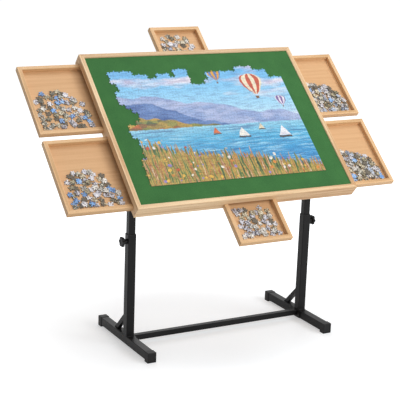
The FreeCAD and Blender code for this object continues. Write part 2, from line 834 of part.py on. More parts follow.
def clamp_knobs():
    """Two knobs lock the height and two lock the tilt, each moulded on its threaded stud."""
    height_seat = f"({OUTER_FACE} + boss_length + seat_gap)"
    height_tip = f"({MAST_OUTER_FACE} + slide_gap)"
    lock_seat = f"({MAST_OUTER_FACE} + washer_thickness + seat_gap)"
    lock_tip = f"({WEB_FACE} - bracket_gauge - seat_gap - hex_nut_height - thread_spare)"
    rows = (
        ("height", height_seat, height_tip, "outer_column_top - height_knob_drop"),
        ("lock", lock_seat, lock_tip, "pivot_height - lock_radius"),
    )
    for kind, seat, tip, z in rows:
        for side, word in SIDES:
            outward = facing(side)
            knob = star_knob(f"{kind}_knob_{word}", stand_at(f"{side} * {seat}", "0", z, outward))
            keep(f"{kind}_knob_{word}", knob)
            stud = cylinder(
                f"{kind}_stud_{word}",
                "stud_radius",
                f"{seat} + knob_bore_depth - {tip}",
                stand_at(f"{side} * {tip}", "0", z, outward),
            )
            keep(f"{kind}_stud_{word}", stud)


# ---------------------------------------------------------------------------- tilt brackets
def tilt_bracket(side, word):
    """A bent steel plate: its flange is screwed to the cleat, and its half-moon web hangs
    beside the column, with a bore for the pivot and a slot that the lock stud runs in."""
    body = new_body(f"tilt_bracket_{word}")
    outwards = side == RIGHT
    rise = "(pivot_to_board - cleat_thickness)"
    web = new_sketch(body, "YZ_Plane")
    radius, top = size("quadrant_radius"), size(rise)
    round_edge = Part.ArcOfCircle(Part.Circle(Vector(), Z_AXIS, radius), math.pi, 2 * math.pi)
    web.addGeometry(round_edge, False)
    corners = [(radius, 0), (radius, top), (-radius, top), (-radius, 0)]
    for start, end in zip(corners, corners[1:]):
        web.addGeometry(Part.LineSegment(Vector(*start, 0), Vector(*end, 0)), False)
    for first, second in ((0, 1), (1, 2), (2, 3)):
        web.addConstraint(Sketcher.Constraint("Coincident", first, 2, second, 1))
    web.addConstraint(Sketcher.Constraint("Coincident", 3, 2, 0, 1))
    pin(web, 0, 3, "0", "0")
    dimension(web, "Radius", (0,), "quadrant_radius")
    web.addConstraint(Sketcher.Constraint("PointOnObject", 0, 1, -1))
    web.addConstraint(Sketcher.Constraint("PointOnObject", 0, 2, -1))
    web.addConstraint(Sketcher.Constraint("Vertical", 1))
    web.addConstraint(Sketcher.Constraint("Vertical", 3))
    web.addConstraint(Sketcher.Constraint("Horizontal", 2))
    dimension(web, "DistanceY", (-1, 1, 2, 1), rise)
    pad(body, web, "bracket_gauge", backwards=outwards)
    flange = new_sketch(body, "YZ_Plane")
    rectangle(
        flange,
        "-flange_length / 2",
        f"{rise} - bracket_gauge",
        "flange_length / 2",
        rise,
    )
    pad(body, flange, "flange_width", backwards=outwards)
    soften(
        body,
        "Fillet",
        "bracket_bend",
        lambda edge, at: along(edge, Y_AXIS) and near(at.x, 0) and near(at.z, top),
    )
    drill(body, "YZ_Plane", "0", "0", "stud_radius + running_gap")
    lock_slot(body)
    screw_x = f"{-side} * (flange_width - flange_screw_inset)"
    for end in (-1, 1):
        drill(body, "XY_Plane", screw_x, f"{end} * flange_screw_spread / 2", "wood_screw_radius")
    place = board_at(f"{side} * {WEB_FACE}", "-pivot_to_middle", f"-{PIVOT_TO_TOP}")
    keep(f"tilt_bracket_{word}", body, place)


def tilt_brackets():
    for side, word in SIDES:
        tilt_bracket(side, word)


def lock_slot(body):
    """The curved slot: a groove turned about the pivot, with a round hole at each end."""
    middle = "(tilt_highest / 2)"
    half = "(stud_radius + lock_slot_gap)"
    sketch = new_sketch(body, "XZ_Plane")
    rectangle(
        sketch,
        "-2 * bracket_gauge",
        f"-lock_radius - {half}",
        "2 * bracket_gauge",
        f"{half} - lock_radius",
    )
    sketch.AttachmentOffset = FreeCAD.Placement(Vector(), turned(-size(middle), X_AXIS))
    before = body.Shape.Volume
    feature = body.newObject("PartDesign::Groove", "LockSlot")
    feature.Profile = sketch
    feature.ReferenceAxis = (sketch, ["H_Axis"])
    feature.Midplane = True
    drive(feature, "Angle", "tilt_highest + 2 * slot_spare")
    doc.recompute()
    if body.Shape.Volume >= before:
        raise RuntimeError("the lock slot cuts nothing")
    for angle in ("(-slot_spare)", "(tilt_highest + slot_spare)"):
        y = f"-lock_radius * sin({angle})"
        z = f"-lock_radius * cos({angle})"
        drill(body, "YZ_Plane", y, z, half)


def bracket_screws():
    """The wood screws that hold the flanges to the cleats."""
    screws = []
    under = "(-board_thickness - cleat_thickness - bracket_gauge)"
    for side, word in SIDES:
        x = f"{side} * ({WEB_FACE} - flange_width + flange_screw_inset)"
        for end in (-1, 1):
            y = f"{end} * flange_screw_spread / 2 - pivot_to_middle"
            name = f"bracket_screw_{word}_{end}"
            shank_at = board_at(x, y, under)
            shank = cylinder(f"{name}_shank", "wood_screw_radius", "wood_screw_length", shank_at)
            head_at = board_at(x, y, f"{under} - wood_head_height")
            head = cylinder(f"{name}_head", "wood_head_radius", "wood_head_height", head_at)
            screws.append(fuse(name, [shank, head]))
    keep_group("bracket_screws", screws)


def cleats():
    """Two battens glued along the board's underside, piloted for the brackets' screws."""
    pieces = []
    reach = "(board_depth / 2 - cleat_end)"
    for side, word in SIDES:
        body = new_body(f"cleat_{word}")
        sketch = new_sketch(body)
        inner_edge = f"({WEB_FACE} - flange_width)"
        left, right = f"{side} * {inner_edge}", f"{side} * ({inner_edge} + cleat_width)"
        if side == LEFT:
            left, right = right, left
        rectangle(sketch, left, f"-{reach}", right, reach)
        pad(body, sketch, "cleat_thickness", backwards=True)
        x = f"{side} * ({inner_edge} + flange_screw_inset)"
        pilots = new_sketch(body, "XY_Plane", "-cleat_thickness")
        for end in (-1, 1):
            circle(pilots, x, f"{end} * flange_screw_spread / 2 - pivot_to_middle", "wood_screw_radius")
        pocket(body, pilots, "wood_screw_length - bracket_gauge", backwards=True)
        body.Placement = board_at("0", "0", "-board_thickness")
        pieces.append(body)
    keep_group("cleats", pieces)


# ---------------------------------------------------------------------------- the board
def rail(name, length, slots, slot_width, place):
    """A mitred rail, grooved for the top panel, rebated for the bottom one and slotted
    for its drawers, with a bevel along the inner top edge."""
    body = mitred_bar(name, length, "rail_width", "board_thickness")
    past = f"rail_width + {OVERCUT}"
    below = f"-board_thickness - {OVERCUT}"
    groove(body, "rail_width - top_groove", past, PANEL_UNDER, PANEL_TOP)
    groove(body, "rail_width - bottom_rebate", past, below, BOTTOM_TOP)
    openings = new_sketch(body, "XZ_Plane")
    half = f"({slot_width} / 2 + drawer_side_gap)"
    for middle in slots:
        rectangle(openings, f"{middle} - {half}", SLOT_UNDER, f"{middle} + {half}", SLOT_TOP)
    pocket(body, openings)
    width = size("rail_width")
    soften(
        body,
        "Chamfer",
        "rail_bevel",
        lambda edge, at: along(edge, X_AXIS) and near(at.y, width) and near(at.z, 0),
    )
    soften(
        body,
        "Fillet",
        "rail_round",
        lambda edge, at: along(edge, X_AXIS) and near(at.y, 0) and near(at.z, 0),
    )
    keep(name, body, place)


def rails():
    pair = (f"-{SIDE_DRAWER_AT}", SIDE_DRAWER_AT)
    near_place = board_at("0", "-board_depth / 2", "0")
    far_place = board_at("0", "board_depth / 2", "0", turned(180))
    rail("rail_near", "board_width", ("0",), "end_drawer_width", near_place)
    rail("rail_far", "board_width", ("0",), "end_drawer_width", far_place)
    for side, word in SIDES:
        place = board_at(f"{side} * board_width / 2", "0", "0", turned(90 * side))
        rail(f"rail_{word}", "board_depth", pair, SIDE_DRAWER_WIDTH, place)


def panel(name, reach, under, thickness):
    """A flat panel that reaches past the rails' inner faces by so much."""
    half_x, half_y = f"({INNER_X} + {reach})", f"({INNER_Y} + {reach})"
    place = board_at(f"-{half_x}", f"-{half_y}", under)
    keep(name, box(name, f"2 * {half_x}", f"2 * {half_y}", thickness, place))


def panels():
    """The two panels in the rails' groove and rebate, and the felt on the upper one."""
    panel("top_panel", "top_groove - fit_gap", PANEL_UNDER, "top_thickness")
    panel("felt", "-felt_trim", PANEL_TOP, "felt_thickness")
    panel("bottom_panel", "bottom_rebate - fit_gap", "-board_thickness", "bottom_thickness")


def guide(name, core_from, core_to, lips, length, place):
    """A drawer guide along +Y: an upright core between the panels, with a kicker lip under
    the top panel on each side that has one. Its profile is drawn with z = 0 on the panel."""
    body = new_body(name)
    sketch = new_sketch(body, "XZ_Plane")
    left_lip, right_lip = lips
    corners = [(core_from, f"-{INNER_HEIGHT}"), (core_to, f"-{INNER_HEIGHT}")]
    if right_lip:
        reach = f"{core_to} + {right_lip}"
        corners += [(core_to, f"-{KICKER_HEIGHT}"), (reach, f"-{KICKER_HEIGHT}"), (reach, "0")]
    else:
        corners += [(core_to, "0")]
    if left_lip:
        reach = f"{core_from} - {left_lip}"
        corners += [(reach, "0"), (reach, f"-{KICKER_HEIGHT}"), (core_from, f"-{KICKER_HEIGHT}")]
    else:
        corners += [(core_from, "0")]
    outline(sketch, corners)
    pad(body, sketch, length, backwards=True)
    body.Placement = place
    return body


def drawer_guides():
    """Dividers beside the near and far drawers, guides for the side drawers, and the stop."""
    dividers, middles, edges = [], [], []
    side_length = f"({INNER_X} - {DIVIDER_OUT})"
    core_half = "(drawer_gap / 2 - drawer_side_gap)"
    edge_core = f"({SIDE_DRAWER_AT} + {SIDE_DRAWER_WIDTH} / 2 + drawer_side_gap)"
    kicker = "kicker_reach"
    for side, word in SIDES:
        # Each divider's kicker reaches over the near and far drawers.
        lips = (None, kicker) if side == LEFT else (kicker, None)
        ends = (f"-{DIVIDER_OUT}", f"-{BAY_HALF}") if side == LEFT else (BAY_HALF, DIVIDER_OUT)
        place = board_at("0", f"-{INNER_Y}", PANEL_UNDER)
        dividers.append(guide(f"divider_{word}", *ends, lips, f"2 * {INNER_Y}", place))
        # The side drawers' guides run outwards, so they are made along +Y and turned.
        out = board_at(f"{side} * {DIVIDER_OUT}", "0", PANEL_UNDER, turned(-90 * side))
        core = (f"-{core_half}", core_half)
        middles.append(guide(f"middle_guide_{word}", *core, (kicker, kicker), side_length, out))
        for end in (-1, 1):
            if end < 0:
                span, lips = (f"-{INNER_Y}", f"-{edge_core}"), (None, kicker)
            else:
                span, lips = (edge_core, INNER_Y), (kicker, None)
            edges.append(guide(f"edge_guide_{word}_{end}", *span, lips, side_length, out))
    keep_group("dividers", dividers)
    keep_group("middle_guides", middles)
    keep_group("edge_guides", edges)
    place = board_at(f"-{BAY_HALF}", "-stop_reach", BOTTOM_TOP)
    # The block stands between the dividers, below their kickers.
    height = f"{INNER_HEIGHT} - {KICKER_HEIGHT}"
    keep("stop_block", box("stop_block", f"2 * {BAY_HALF}", "2 * stop_reach", height, place))


# ---------------------------------------------------------------------------- the drawers
def drawer_wall(name, length, place, stop=False):
    """A mitred wall, grooved for the floor. The inner wall carries the pull-out stop."""
    body = mitred_bar(name, length, "drawer_wall", "drawer_height")
    low = "floor_up - drawer_height"
    past = f"drawer_wall + {OVERCUT}"
    groove(body, "drawer_wall - floor_groove", past, low, f"{low} + drawer_floor")
    width = size("drawer_wall")
    soften(
        body,
        "Fillet",
        "drawer_round",
        lambda edge, at: along(edge, X_AXIS) and near(at.z, 0) and near(abs(at.y - width / 2), width / 2),
    )
    if stop:
        sketch = new_sketch(body)
        half = f"(({length}) / 2 - stop_inset)"
        rectangle(sketch, f"-{half}", "drawer_round", half, "drawer_wall - drawer_round")
        pad(body, sketch, "stop_height")
    body.Placement = place
    return body


def drawer(name, width, depth, frame):
    """A shallow tray in its own frame: outer face on y = 0, inwards along +Y."""

    def at(x, y, z="-drawer_top", turn=FreeCAD.Rotation()):
        return frame * FreeCAD.Placement(Vector(size(x), size(y), size(z)), turn)

    walls = [
        drawer_wall(f"{name}_front", width, at("0", "0")),
        drawer_wall(f"{name}_inner", width, at("0", depth, turn=turned(180)), stop=True),
    ]
    for side in (LEFT, RIGHT):
        place = at(f"{side} * {width} / 2", f"{depth} / 2", turn=turned(90 * side))
        walls.append(drawer_wall(f"{name}_side_{side}", depth, place))
    keep_group(f"{name}_walls", walls)
    inset = "(drawer_wall - floor_groove + fit_gap)"
    corner = at(f"{inset} - {width} / 2", inset, f"{DRAWER_UNDER} + floor_up")
    floor = box(
        f"{name}_floor", f"{width} - 2 * {inset}", f"{depth} - 2 * {inset}", "drawer_floor", corner
    )
    keep(f"{name}_floor", floor)


def drawers():
    for side, word in SIDES:
        for end, end_word in ((FAR, "far"), (NEAR, "near")):
            frame = board_at(
                f"{side} * (board_width / 2 + {word}_out)",
                f"{end} * {SIDE_DRAWER_AT}",
                "0",
                turned(90 * side),
            )
            name = f"{word}_{end_word}_drawer"
            drawer(name, SIDE_DRAWER_WIDTH, SIDE_DRAWER_DEPTH, frame)
    near_frame = board_at("0", "-board_depth / 2 - near_out", "0")
    far_frame = board_at("0", "board_depth / 2 + far_out", "0", turned(180))
    drawer("near_drawer", "end_drawer_width", END_DRAWER_DEPTH, near_frame)
    drawer("far_drawer", "end_drawer_width", END_DRAWER_DEPTH, far_frame)


# ---------------------------------------------------------------------------- the jigsaw
# How many pieces each run of columns has been built up to, from the left.
BUILT_UP = (
    [27] * 5 + [26] * 3 + [25] * 2 + [26] * 3 + [25] + [27] * 3 + [23] * 3
    + [24] + [26] * 7 + [27] * 4 + [26] * 3 + [24] * 3
)
# How many pieces are still missing at the left, from the near row up.
MISSING_LEFT = [0] * 6 + [1] * 5 + [0] * 3 + [2, 3, 3, 2, 1] + [0] * 3 + [1, 1] + [0] * 4

# A tab is a round head on a narrow neck, in shares of the piece's side.
NECK_HALF = 0.08
HEAD_UP = 0.09
HEAD_RADIUS = 0.12


def laid_pieces():
    """The (column, row) places that hold a piece."""
    columns, rows = int(size("puzzle_columns")), int(size("puzzle_rows"))
    return {
        (column, row)
        for column in range(columns)
        for row in range(rows)
        if row < BUILT_UP[column % len(BUILT_UP)] and column >= MISSING_LEFT[row % len(MISSING_LEFT)]
    }


def tabbed_side(start, end, bulge):
    """Edges of a piece's side with its tab: +1 bulges it to the left of start-end, -1 right."""
    way = end - start
    across = Vector(-way.y, way.x, 0) * bulge
    neck_in = start + way * (0.5 - NECK_HALF)
    neck_out = start + way * (0.5 + NECK_HALF)
    crown = start + way * 0.5 + across * (HEAD_UP + HEAD_RADIUS)
    return [
        Part.makeLine(start, neck_in),
        Part.Arc(neck_in, crown, neck_out).toShape(),
        Part.makeLine(neck_out, end),
    ]


def puzzle_edges(laid):
    """The outline of the laid pieces: straight along the border, tabbed where more would go."""
    pitch = size("piece_size")
    rows = int(size("puzzle_rows"))
    columns = int(size("puzzle_columns"))
    edges = []
    for column, row in sorted(laid):
        left, low = column * pitch, row * pitch
        right, high = left + pitch, low + pitch
        # Each side: the step to the neighbour, its two ends and whether it is on the border.
        sides = (
            (0, -1, Vector(left, low), Vector(right, low), row == 0),
            (0, 1, Vector(left, high), Vector(right, high), row + 1 == rows),
            (-1, 0, Vector(left, low), Vector(left, high), column == 0),
            (1, 0, Vector(right, low), Vector(right, high), column + 1 == columns),
        )
        for across, up, start, end, on_border in sides:
            if (column + across, row + up) in laid:
                continue
            if on_border:
                edges.append(Part.makeLine(start, end))
            else:
                parity = column + row + max(across, up, 0)
                edges += tabbed_side(start, end, 1 if parity % 2 else -1)
    return edges


def puzzle():
    """The part of the jigsaw that has been put together, as one sheet on the felt."""
    loops = [Part.Wire(edges) for edges in Part.sortEdges(puzzle_edges(laid_pieces()))]
    outer = max(loops, key=lambda wire: wire.BoundBox.DiagonalLength)
    sheet_shape = Part.Face(outer).extrude(Vector(0, 0, size("puzzle_thickness")))
    item = doc.addObject("Part::Feature", "puzzle")
    item.Shape = sheet_shape
    keep("puzzle", item, board_at("-puzzle_left", "-puzzle_near", FELT_TOP))


# ---------------------------------------------------------------------------- assembly
foot_tubes()
foot_caps()
outer_columns()
column_bushes()
braces()
crossbar()
knob_bosses()
inner_columns()
column_ends()
pivot_hardware()
clamp_knobs()
tilt_brackets()
bracket_screws()
cleats()
rails()
panels()
drawer_guides()
drawers()
puzzle()
doc.recompute()

for item in doc.Objects:
    if "Invalid" in item.State or "Error" in item.State:
        raise RuntimeError(f"{item.Label} failed: {item.State}")
for item in parts:
    if item.Shape.isNull() or not item.Shape.isValid():
        raise RuntimeError(f"{item.Label} has no valid shape")

os.makedirs("parts", exist_ok=True)
for item in parts:
    item.Shape.exportStep(f"parts/{item.Label}.step")
    print(f"{item.Label}: {len(item.Shape.Solids)} solid(s), {item.Shape.Volume / 1000:.1f} cm3")
print(f"{len(parts)} nodes")
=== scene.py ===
import math
import random
from functools import partial

import bpy
import numpy as np
from mathutils import Matrix, Vector


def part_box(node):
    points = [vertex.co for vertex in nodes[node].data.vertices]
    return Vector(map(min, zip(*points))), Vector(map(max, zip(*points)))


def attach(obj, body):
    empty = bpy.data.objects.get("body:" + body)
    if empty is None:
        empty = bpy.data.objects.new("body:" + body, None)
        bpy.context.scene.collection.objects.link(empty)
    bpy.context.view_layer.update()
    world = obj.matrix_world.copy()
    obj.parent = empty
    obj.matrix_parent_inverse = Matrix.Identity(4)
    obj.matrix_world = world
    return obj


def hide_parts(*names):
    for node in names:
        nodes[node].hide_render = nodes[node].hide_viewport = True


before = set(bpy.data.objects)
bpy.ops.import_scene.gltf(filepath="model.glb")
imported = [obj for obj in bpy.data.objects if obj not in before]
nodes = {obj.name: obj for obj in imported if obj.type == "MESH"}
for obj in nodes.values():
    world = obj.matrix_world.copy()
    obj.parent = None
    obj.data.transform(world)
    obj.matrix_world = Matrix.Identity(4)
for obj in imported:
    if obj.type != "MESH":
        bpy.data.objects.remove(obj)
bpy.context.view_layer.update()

MM = 0.001

# ------------------------------------------------------------------ places on the tilted board
TILT = math.radians(41)
FELT_MIDDLE_DEPTH = 5
UP_SLOPE = Vector((0, math.cos(TILT), math.sin(TILT)))
OUT = Vector((0, -math.sin(TILT), math.cos(TILT)))
felt_low, felt_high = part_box("felt")
BOARD_MIDDLE = (felt_low + felt_high) / 2 + OUT * (FELT_MIDDLE_DEPTH * MM)


def board_matrix(u, v, n):
    """Places a mesh made in the board's own plane, from the middle of the rails' top."""
    move = BOARD_MIDDLE + Vector((1, 0, 0)) * u * MM + UP_SLOPE * v * MM + OUT * n * MM
    return Matrix.Translation(move) @ Matrix.Rotation(TILT, 4, "X")


def on_board(name):
    """A CAD node's middle and half its size on the board."""
    turn = board_matrix(0, 0, 0).inverted()
    places = np.array([turn @ point.co for point in nodes[name].data.vertices]) / MM
    low, high = places.min(axis=0), places.max(axis=0)
    return (low + high) / 2, (high - low) / 2


# ------------------------------------------------------------------ nodes
def linear(code):
    """An sRGB hex colour as linear red, green, blue and alpha."""
    levels = [int(code[i : i + 2], 16) / 255 for i in (1, 3, 5)]
    return [*(v / 12.92 if v <= 0.04045 else ((v + 0.055) / 1.055) ** 2.4 for v in levels), 1.0]


def node(tree, kind, inputs=(), stops=(), **settings):
    """Adds a node and returns its outputs. Its inputs are values or other nodes' outputs, in
    order or by name, and its stops are a ramp's places and colours, from the lowest up."""
    made = tree.nodes.new("ShaderNode" + kind)
    for field, value in settings.items():
        setattr(made, field, value)
    if stops:
        elements = made.color_ramp.elements
        elements.remove(elements[1])
        for index, (place, code) in enumerate(stops):
            element = elements.new(place) if index else elements[0]
            element.position = place
            element.color = linear(code)
    for key, value in inputs.items() if isinstance(inputs, dict) else enumerate(inputs):
        if isinstance(value, bpy.types.NodeSocket):
            tree.links.new(value, made.inputs[key])
        else:
            made.inputs[key].default_value = value
    return made.outputs


def new_material(name):
    """An empty material, and the function that adds nodes to it."""
    made = bpy.data.materials.new(name)
    made.use_nodes = True
    made.node_tree.nodes.clear()
    return made, partial(node, made.node_tree)


def surface(add, colour, roughness, height, rise, **sockets):
    """A material's last nodes: its bump, so many mm high, and its shader."""
    bump = add("Bump", {"Height": height, "Distance": rise * MM, "Strength": 1.0})["Normal"]
    inputs = {"Base Color": colour, "Roughness": roughness, "Normal": bump}
    inputs.update((name.replace("_", " "), value) for name, value in sockets.items())
    add("OutputMaterial", {"Surface": add("BsdfPrincipled", inputs)["BSDF"]})


def board_coords(add, u=0.0, v=0.0, n=0.0):
    """Object coordinates turned into the board's plane, in metres from a place on it."""
    turn = Matrix.Rotation(-TILT, 3, "X")
    shift = -(turn @ BOARD_MIDDLE) - Vector((u, v, n)) * MM
    at = add("TexCoord")["Object"]
    return add("Mapping", {"Vector": at, "Location": shift, "Rotation": (-TILT, 0, 0)})["Vector"]


# ------------------------------------------------------------------ wood
# A pattern's scale counts its cells in a metre, here along and across the grain. Growth bands
# and fibre lines are drawn coarser than a real beech's 0.5 mm so that they show.
GROWTH_BANDS = (2.2, 95.0)
FIBRE_LINES = (6.6, 475.0)
PORE_FLECKS = (242.0, 1330.0)
# Light, middle and dark tones. The far rail is from a darker plank.
RAIL_TONES = ("#F7DBB4", "#E5C297", "#C39264")
FAR_RAIL_TONES = ("#E2C4A0", "#D6B48C", "#BF9268")
TRAY_TONES = ("#EAC497", "#E0B789", "#C89E6D")
PLY_TONES = ("#DFB385", "#DAAD7F", "#D4A577")
PINE_TONES = ("#DDBB90", "#D2AC7E", "#C0966A")
PORE, FAINT_PORE = "#D9C2A6", "#F0E6DA"
# A tray's walls along u are cut so far from those along v in one plank.
PLANK_STEP = 731


def grain(add, axes, tones, roughness, pore=PORE):
    """Planed and oiled wood, from places along, across and through the plank: growth bands and
    fibre lines, which also make it duller and proud in turn, and the pores' short flecks."""
    at = add("CombineXYZ", axes)[0]

    def figure(along, across, detail, **inputs):
        place = add("VectorMath", (at, (along, across, across)), operation="MULTIPLY")[0]
        return add("TexNoise", {"Vector": place, "Scale": 1.0, "Detail": detail, **inputs})[0]

    bands = figure(*GROWTH_BANDS, 2.0, Roughness=0.5, Distortion=0.35)
    fibres = figure(*FIBRE_LINES, 3.0, Roughness=0.6)
    flecks = figure(*PORE_FLECKS, 1.0)
    mixed = add("Mix", {0: 0.38, 2: bands, 3: fibres}, data_type="FLOAT")[0]
    tone = add("ValToRGB", (mixed,), zip((0.35, 0.5, 0.65), tones))[0]
    pores = add("ValToRGB", (flecks,), [(0.60, "#FFFFFF"), (0.78, pore)])[0]
    colour = add("Mix", {0: 1.0, 6: tone, 7: pores}, data_type="RGBA", blend_type="MULTIPLY")[2]
    dull = {"Value": fibres, "To Min": roughness - 0.06, "To Max": roughness + 0.08}
    surface(add, colour, add("MapRange", dull)[0], fibres, 0.12, Specular_IOR_Level=0.25)


def straight_wood(name, along, tones, roughness=0.45, shift=0.0, pore=PORE):
    """One board's wood, with its grain along u or v; the shift takes another plank."""
    made, add = new_material(name)
    u, v, n = add("SeparateXYZ", (board_coords(add, n=shift),))
    grain(add, (u, v, n) if along == "u" else (v, u, n), tones, roughness, pore)
    return made


def tray_wood(drawer):
    """A mitred tray's walls: the grain runs along each wall and turns at the mitres."""
    made, add = new_material(f"tray_beech_{drawer}")
    middle, half = on_board(f"{drawer}_walls")
    u, v, n = add("SeparateXYZ", (board_coords(add, middle[0], middle[1]),))
    inside = []
    for axis, reach in ((u, half[0]), (v, half[1])):
        size = add("Math", (axis,), operation="ABSOLUTE")[0]
        inside.append(add("Math", (size, reach * MM), operation="SUBTRACT")[0])
    # A place belongs to the wall whose outer face is nearer to it.
    lengthwise = add("Math", (inside[1], inside[0]), operation="GREATER_THAN")[0]
    along = add("Mix", {0: lengthwise, 2: v, 3: u}, data_type="FLOAT")[0]
    across = add("Mix", {0: lengthwise, 2: u, 3: v}, data_type="FLOAT")[0]
    plank = add("Math", (lengthwise, PLANK_STEP * MM, along), operation="MULTIPLY_ADD")[0]
    grain(add, (plank, across, n), TRAY_TONES, 0.45)
    return made


# ------------------------------------------------------------------ felt, steel and plastic
def needled_felt():
    """Dyed needled wool-viscose felt, glued down: matt, with clumped fibres and a faint nap."""
    made, add = new_material("green_needled_felt")
    at = board_coords(add)
    # Fibre clumps are about 1 mm on the real cloth and drawn larger so that they show.
    clump = {"Vector": at, "Scale": 420.0, "Detail": 4.0, "Roughness": 0.75}
    clumps = add("TexNoise", clump)[0]
    nap = add("TexNoise", {"Vector": at, "Scale": 14.0, "Detail": 3.0})[0]
    mixed = add("Mix", {0: 0.65, 2: nap, 3: clumps}, data_type="FLOAT")[0]
    stops = [(0.32, "#346337"), (0.5, "#3D703D"), (0.68, "#457B43")]
    colour = add("ValToRGB", (mixed,), stops)[0]
    soft = {"Specular_IOR_Level": 0.2, "Sheen_Weight": 0.04, "Sheen_Roughness": 0.5}
    surface(add, colour, 0.95, clumps, 0.5, **soft)
    return made


def powder_coat():
    """Black polyester powder coat on steel tube: satin, with a fine orange-peel ripple."""
    made, add = new_material("black_powder_coat")
    at = add("TexCoord")["Object"]
    peel = add("TexNoise", {"Vector": at, "Scale": 900.0, "Detail": 2.0})[0]
    drift = add("TexNoise", {"Vector": at, "Scale": 9.0, "Detail": 3.0})[0]
    colour = add("ValToRGB", (drift,), [(0.35, "#121213"), (0.65, "#19191A")])[0]
    dull = {"Value": drift, "From Min": 0.3, "From Max": 0.7, "To Min": 0.36, "To Max": 0.46}
    surface(add, colour, add("MapRange", dull)[0], peel, 0.12, Specular_IOR_Level=0.15)
    return made


def moulded_plastic():
    """Black polypropylene with a spark-eroded mould texture: matt and finely pitted."""
    made, add = new_material("black_polypropylene")
    at = add("TexCoord")["Object"]
    pits = add("TexNoise", {"Vector": at, "Scale": 1600.0, "Detail": 2.0})[0]
    flow = add("TexNoise", {"Vector": at, "Scale": 30.0, "Detail": 2.0})[0]
    colour = add("ValToRGB", (flow,), [(0.35, "#131314"), (0.65, "#1A1A1B")])[0]
    dull = {"Value": pits, "To Min": 0.48, "To Max": 0.66}
    surface(add, colour, add("MapRange", dull)[0], pits, 0.08, Specular_IOR_Level=0.25)
    return made


def zinc_plate(name, thread_pitch=None):
    """Bright zinc plate on steel, faintly clouded; a stud also shows its thread's ridges."""
    made, add = new_material(name)
    at = add("TexCoord")["Object"]
    cloud = add("TexNoise", {"Vector": at, "Scale": 160.0, "Detail": 3.0})[0]
    colour = add("ValToRGB", (cloud,), [(0.35, "#A9AEB3"), (0.65, "#C3C6C8")])[0]
    rough = add("MapRange", {"Value": cloud, "To Min": 0.26, "To Max": 0.42})[0]
    height, rise = cloud, 0.02
    if thread_pitch:
        # The thread runs along X, and a wave at scale 1 has 20 radians a metre.
        wave = {"Vector": at, "Scale": 2 * math.pi / (20 * thread_pitch * MM)}
        height = add("TexWave", wave, wave_type="BANDS", bands_direction="X")[1]
        rise = 0.4
    surface(add, colour, rough, height, rise, Metallic=1.0)
    return made


# ------------------------------------------------------------------ the jigsaw's card and print
def greyboard_with_painted_shade():
    """The pieces' cut edges and backs: pressed waste paper, matt and slightly speckled, in a grey
    darker than the board's own: painted shade for the gaps between the pieces.
    """
    made, add = new_material("greyboard_with_painted_shade")
    at = add("TexCoord")["Object"]
    speck = add("TexNoise", {"Vector": at, "Scale": 700.0, "Detail": 3.0})[0]
    # Darker than real greyboard: painted shade in the cuts between pieces.
    colour = add("ValToRGB", (speck,), [(0.35, "#585147"), (0.62, "#7F776A")])[0]
    surface(add, colour, 0.9, speck, 0.1)
    return made


def loose_print():
    """Printed and coated faces of the loose pieces: each has its own colours, in brush strokes."""
    made, add = new_material("loose_piece_print")
    own = add("Attribute", attribute_name="print_colour")["Color"]
    other = add("Attribute", attribute_name="print_second")["Color"]
    pattern = {"Vector": board_coords(add), "Scale": 130.0, "Detail": 4.0}
    stroke = add("TexNoise", {**pattern, "Roughness": 0.6, "Distortion": 1.2})[0]
    share = add("MapRange", {"Value": stroke, "From Min": 0.46, "From Max": 0.56})[0]
    colour = add("Mix", {0: share, 6: own, 7: other}, data_type="RGBA")[2]
    surface(add, colour, 0.42, stroke, 0.04)
    return made


# The pieces' grid. Its border column at the left isn't laid, so the print starts at the second.
PITCH = 18.3
COLUMNS, ROWS = 39, 28
PRINT_LEFT, PRINT_NEAR = -355, -247
PRINT_WIDTH, PRINT_HEIGHT = (COLUMNS - 1) * PITCH, ROWS * PITCH
GRID_LEFT = PRINT_LEFT - PITCH
BRUSH_SWAY = 10


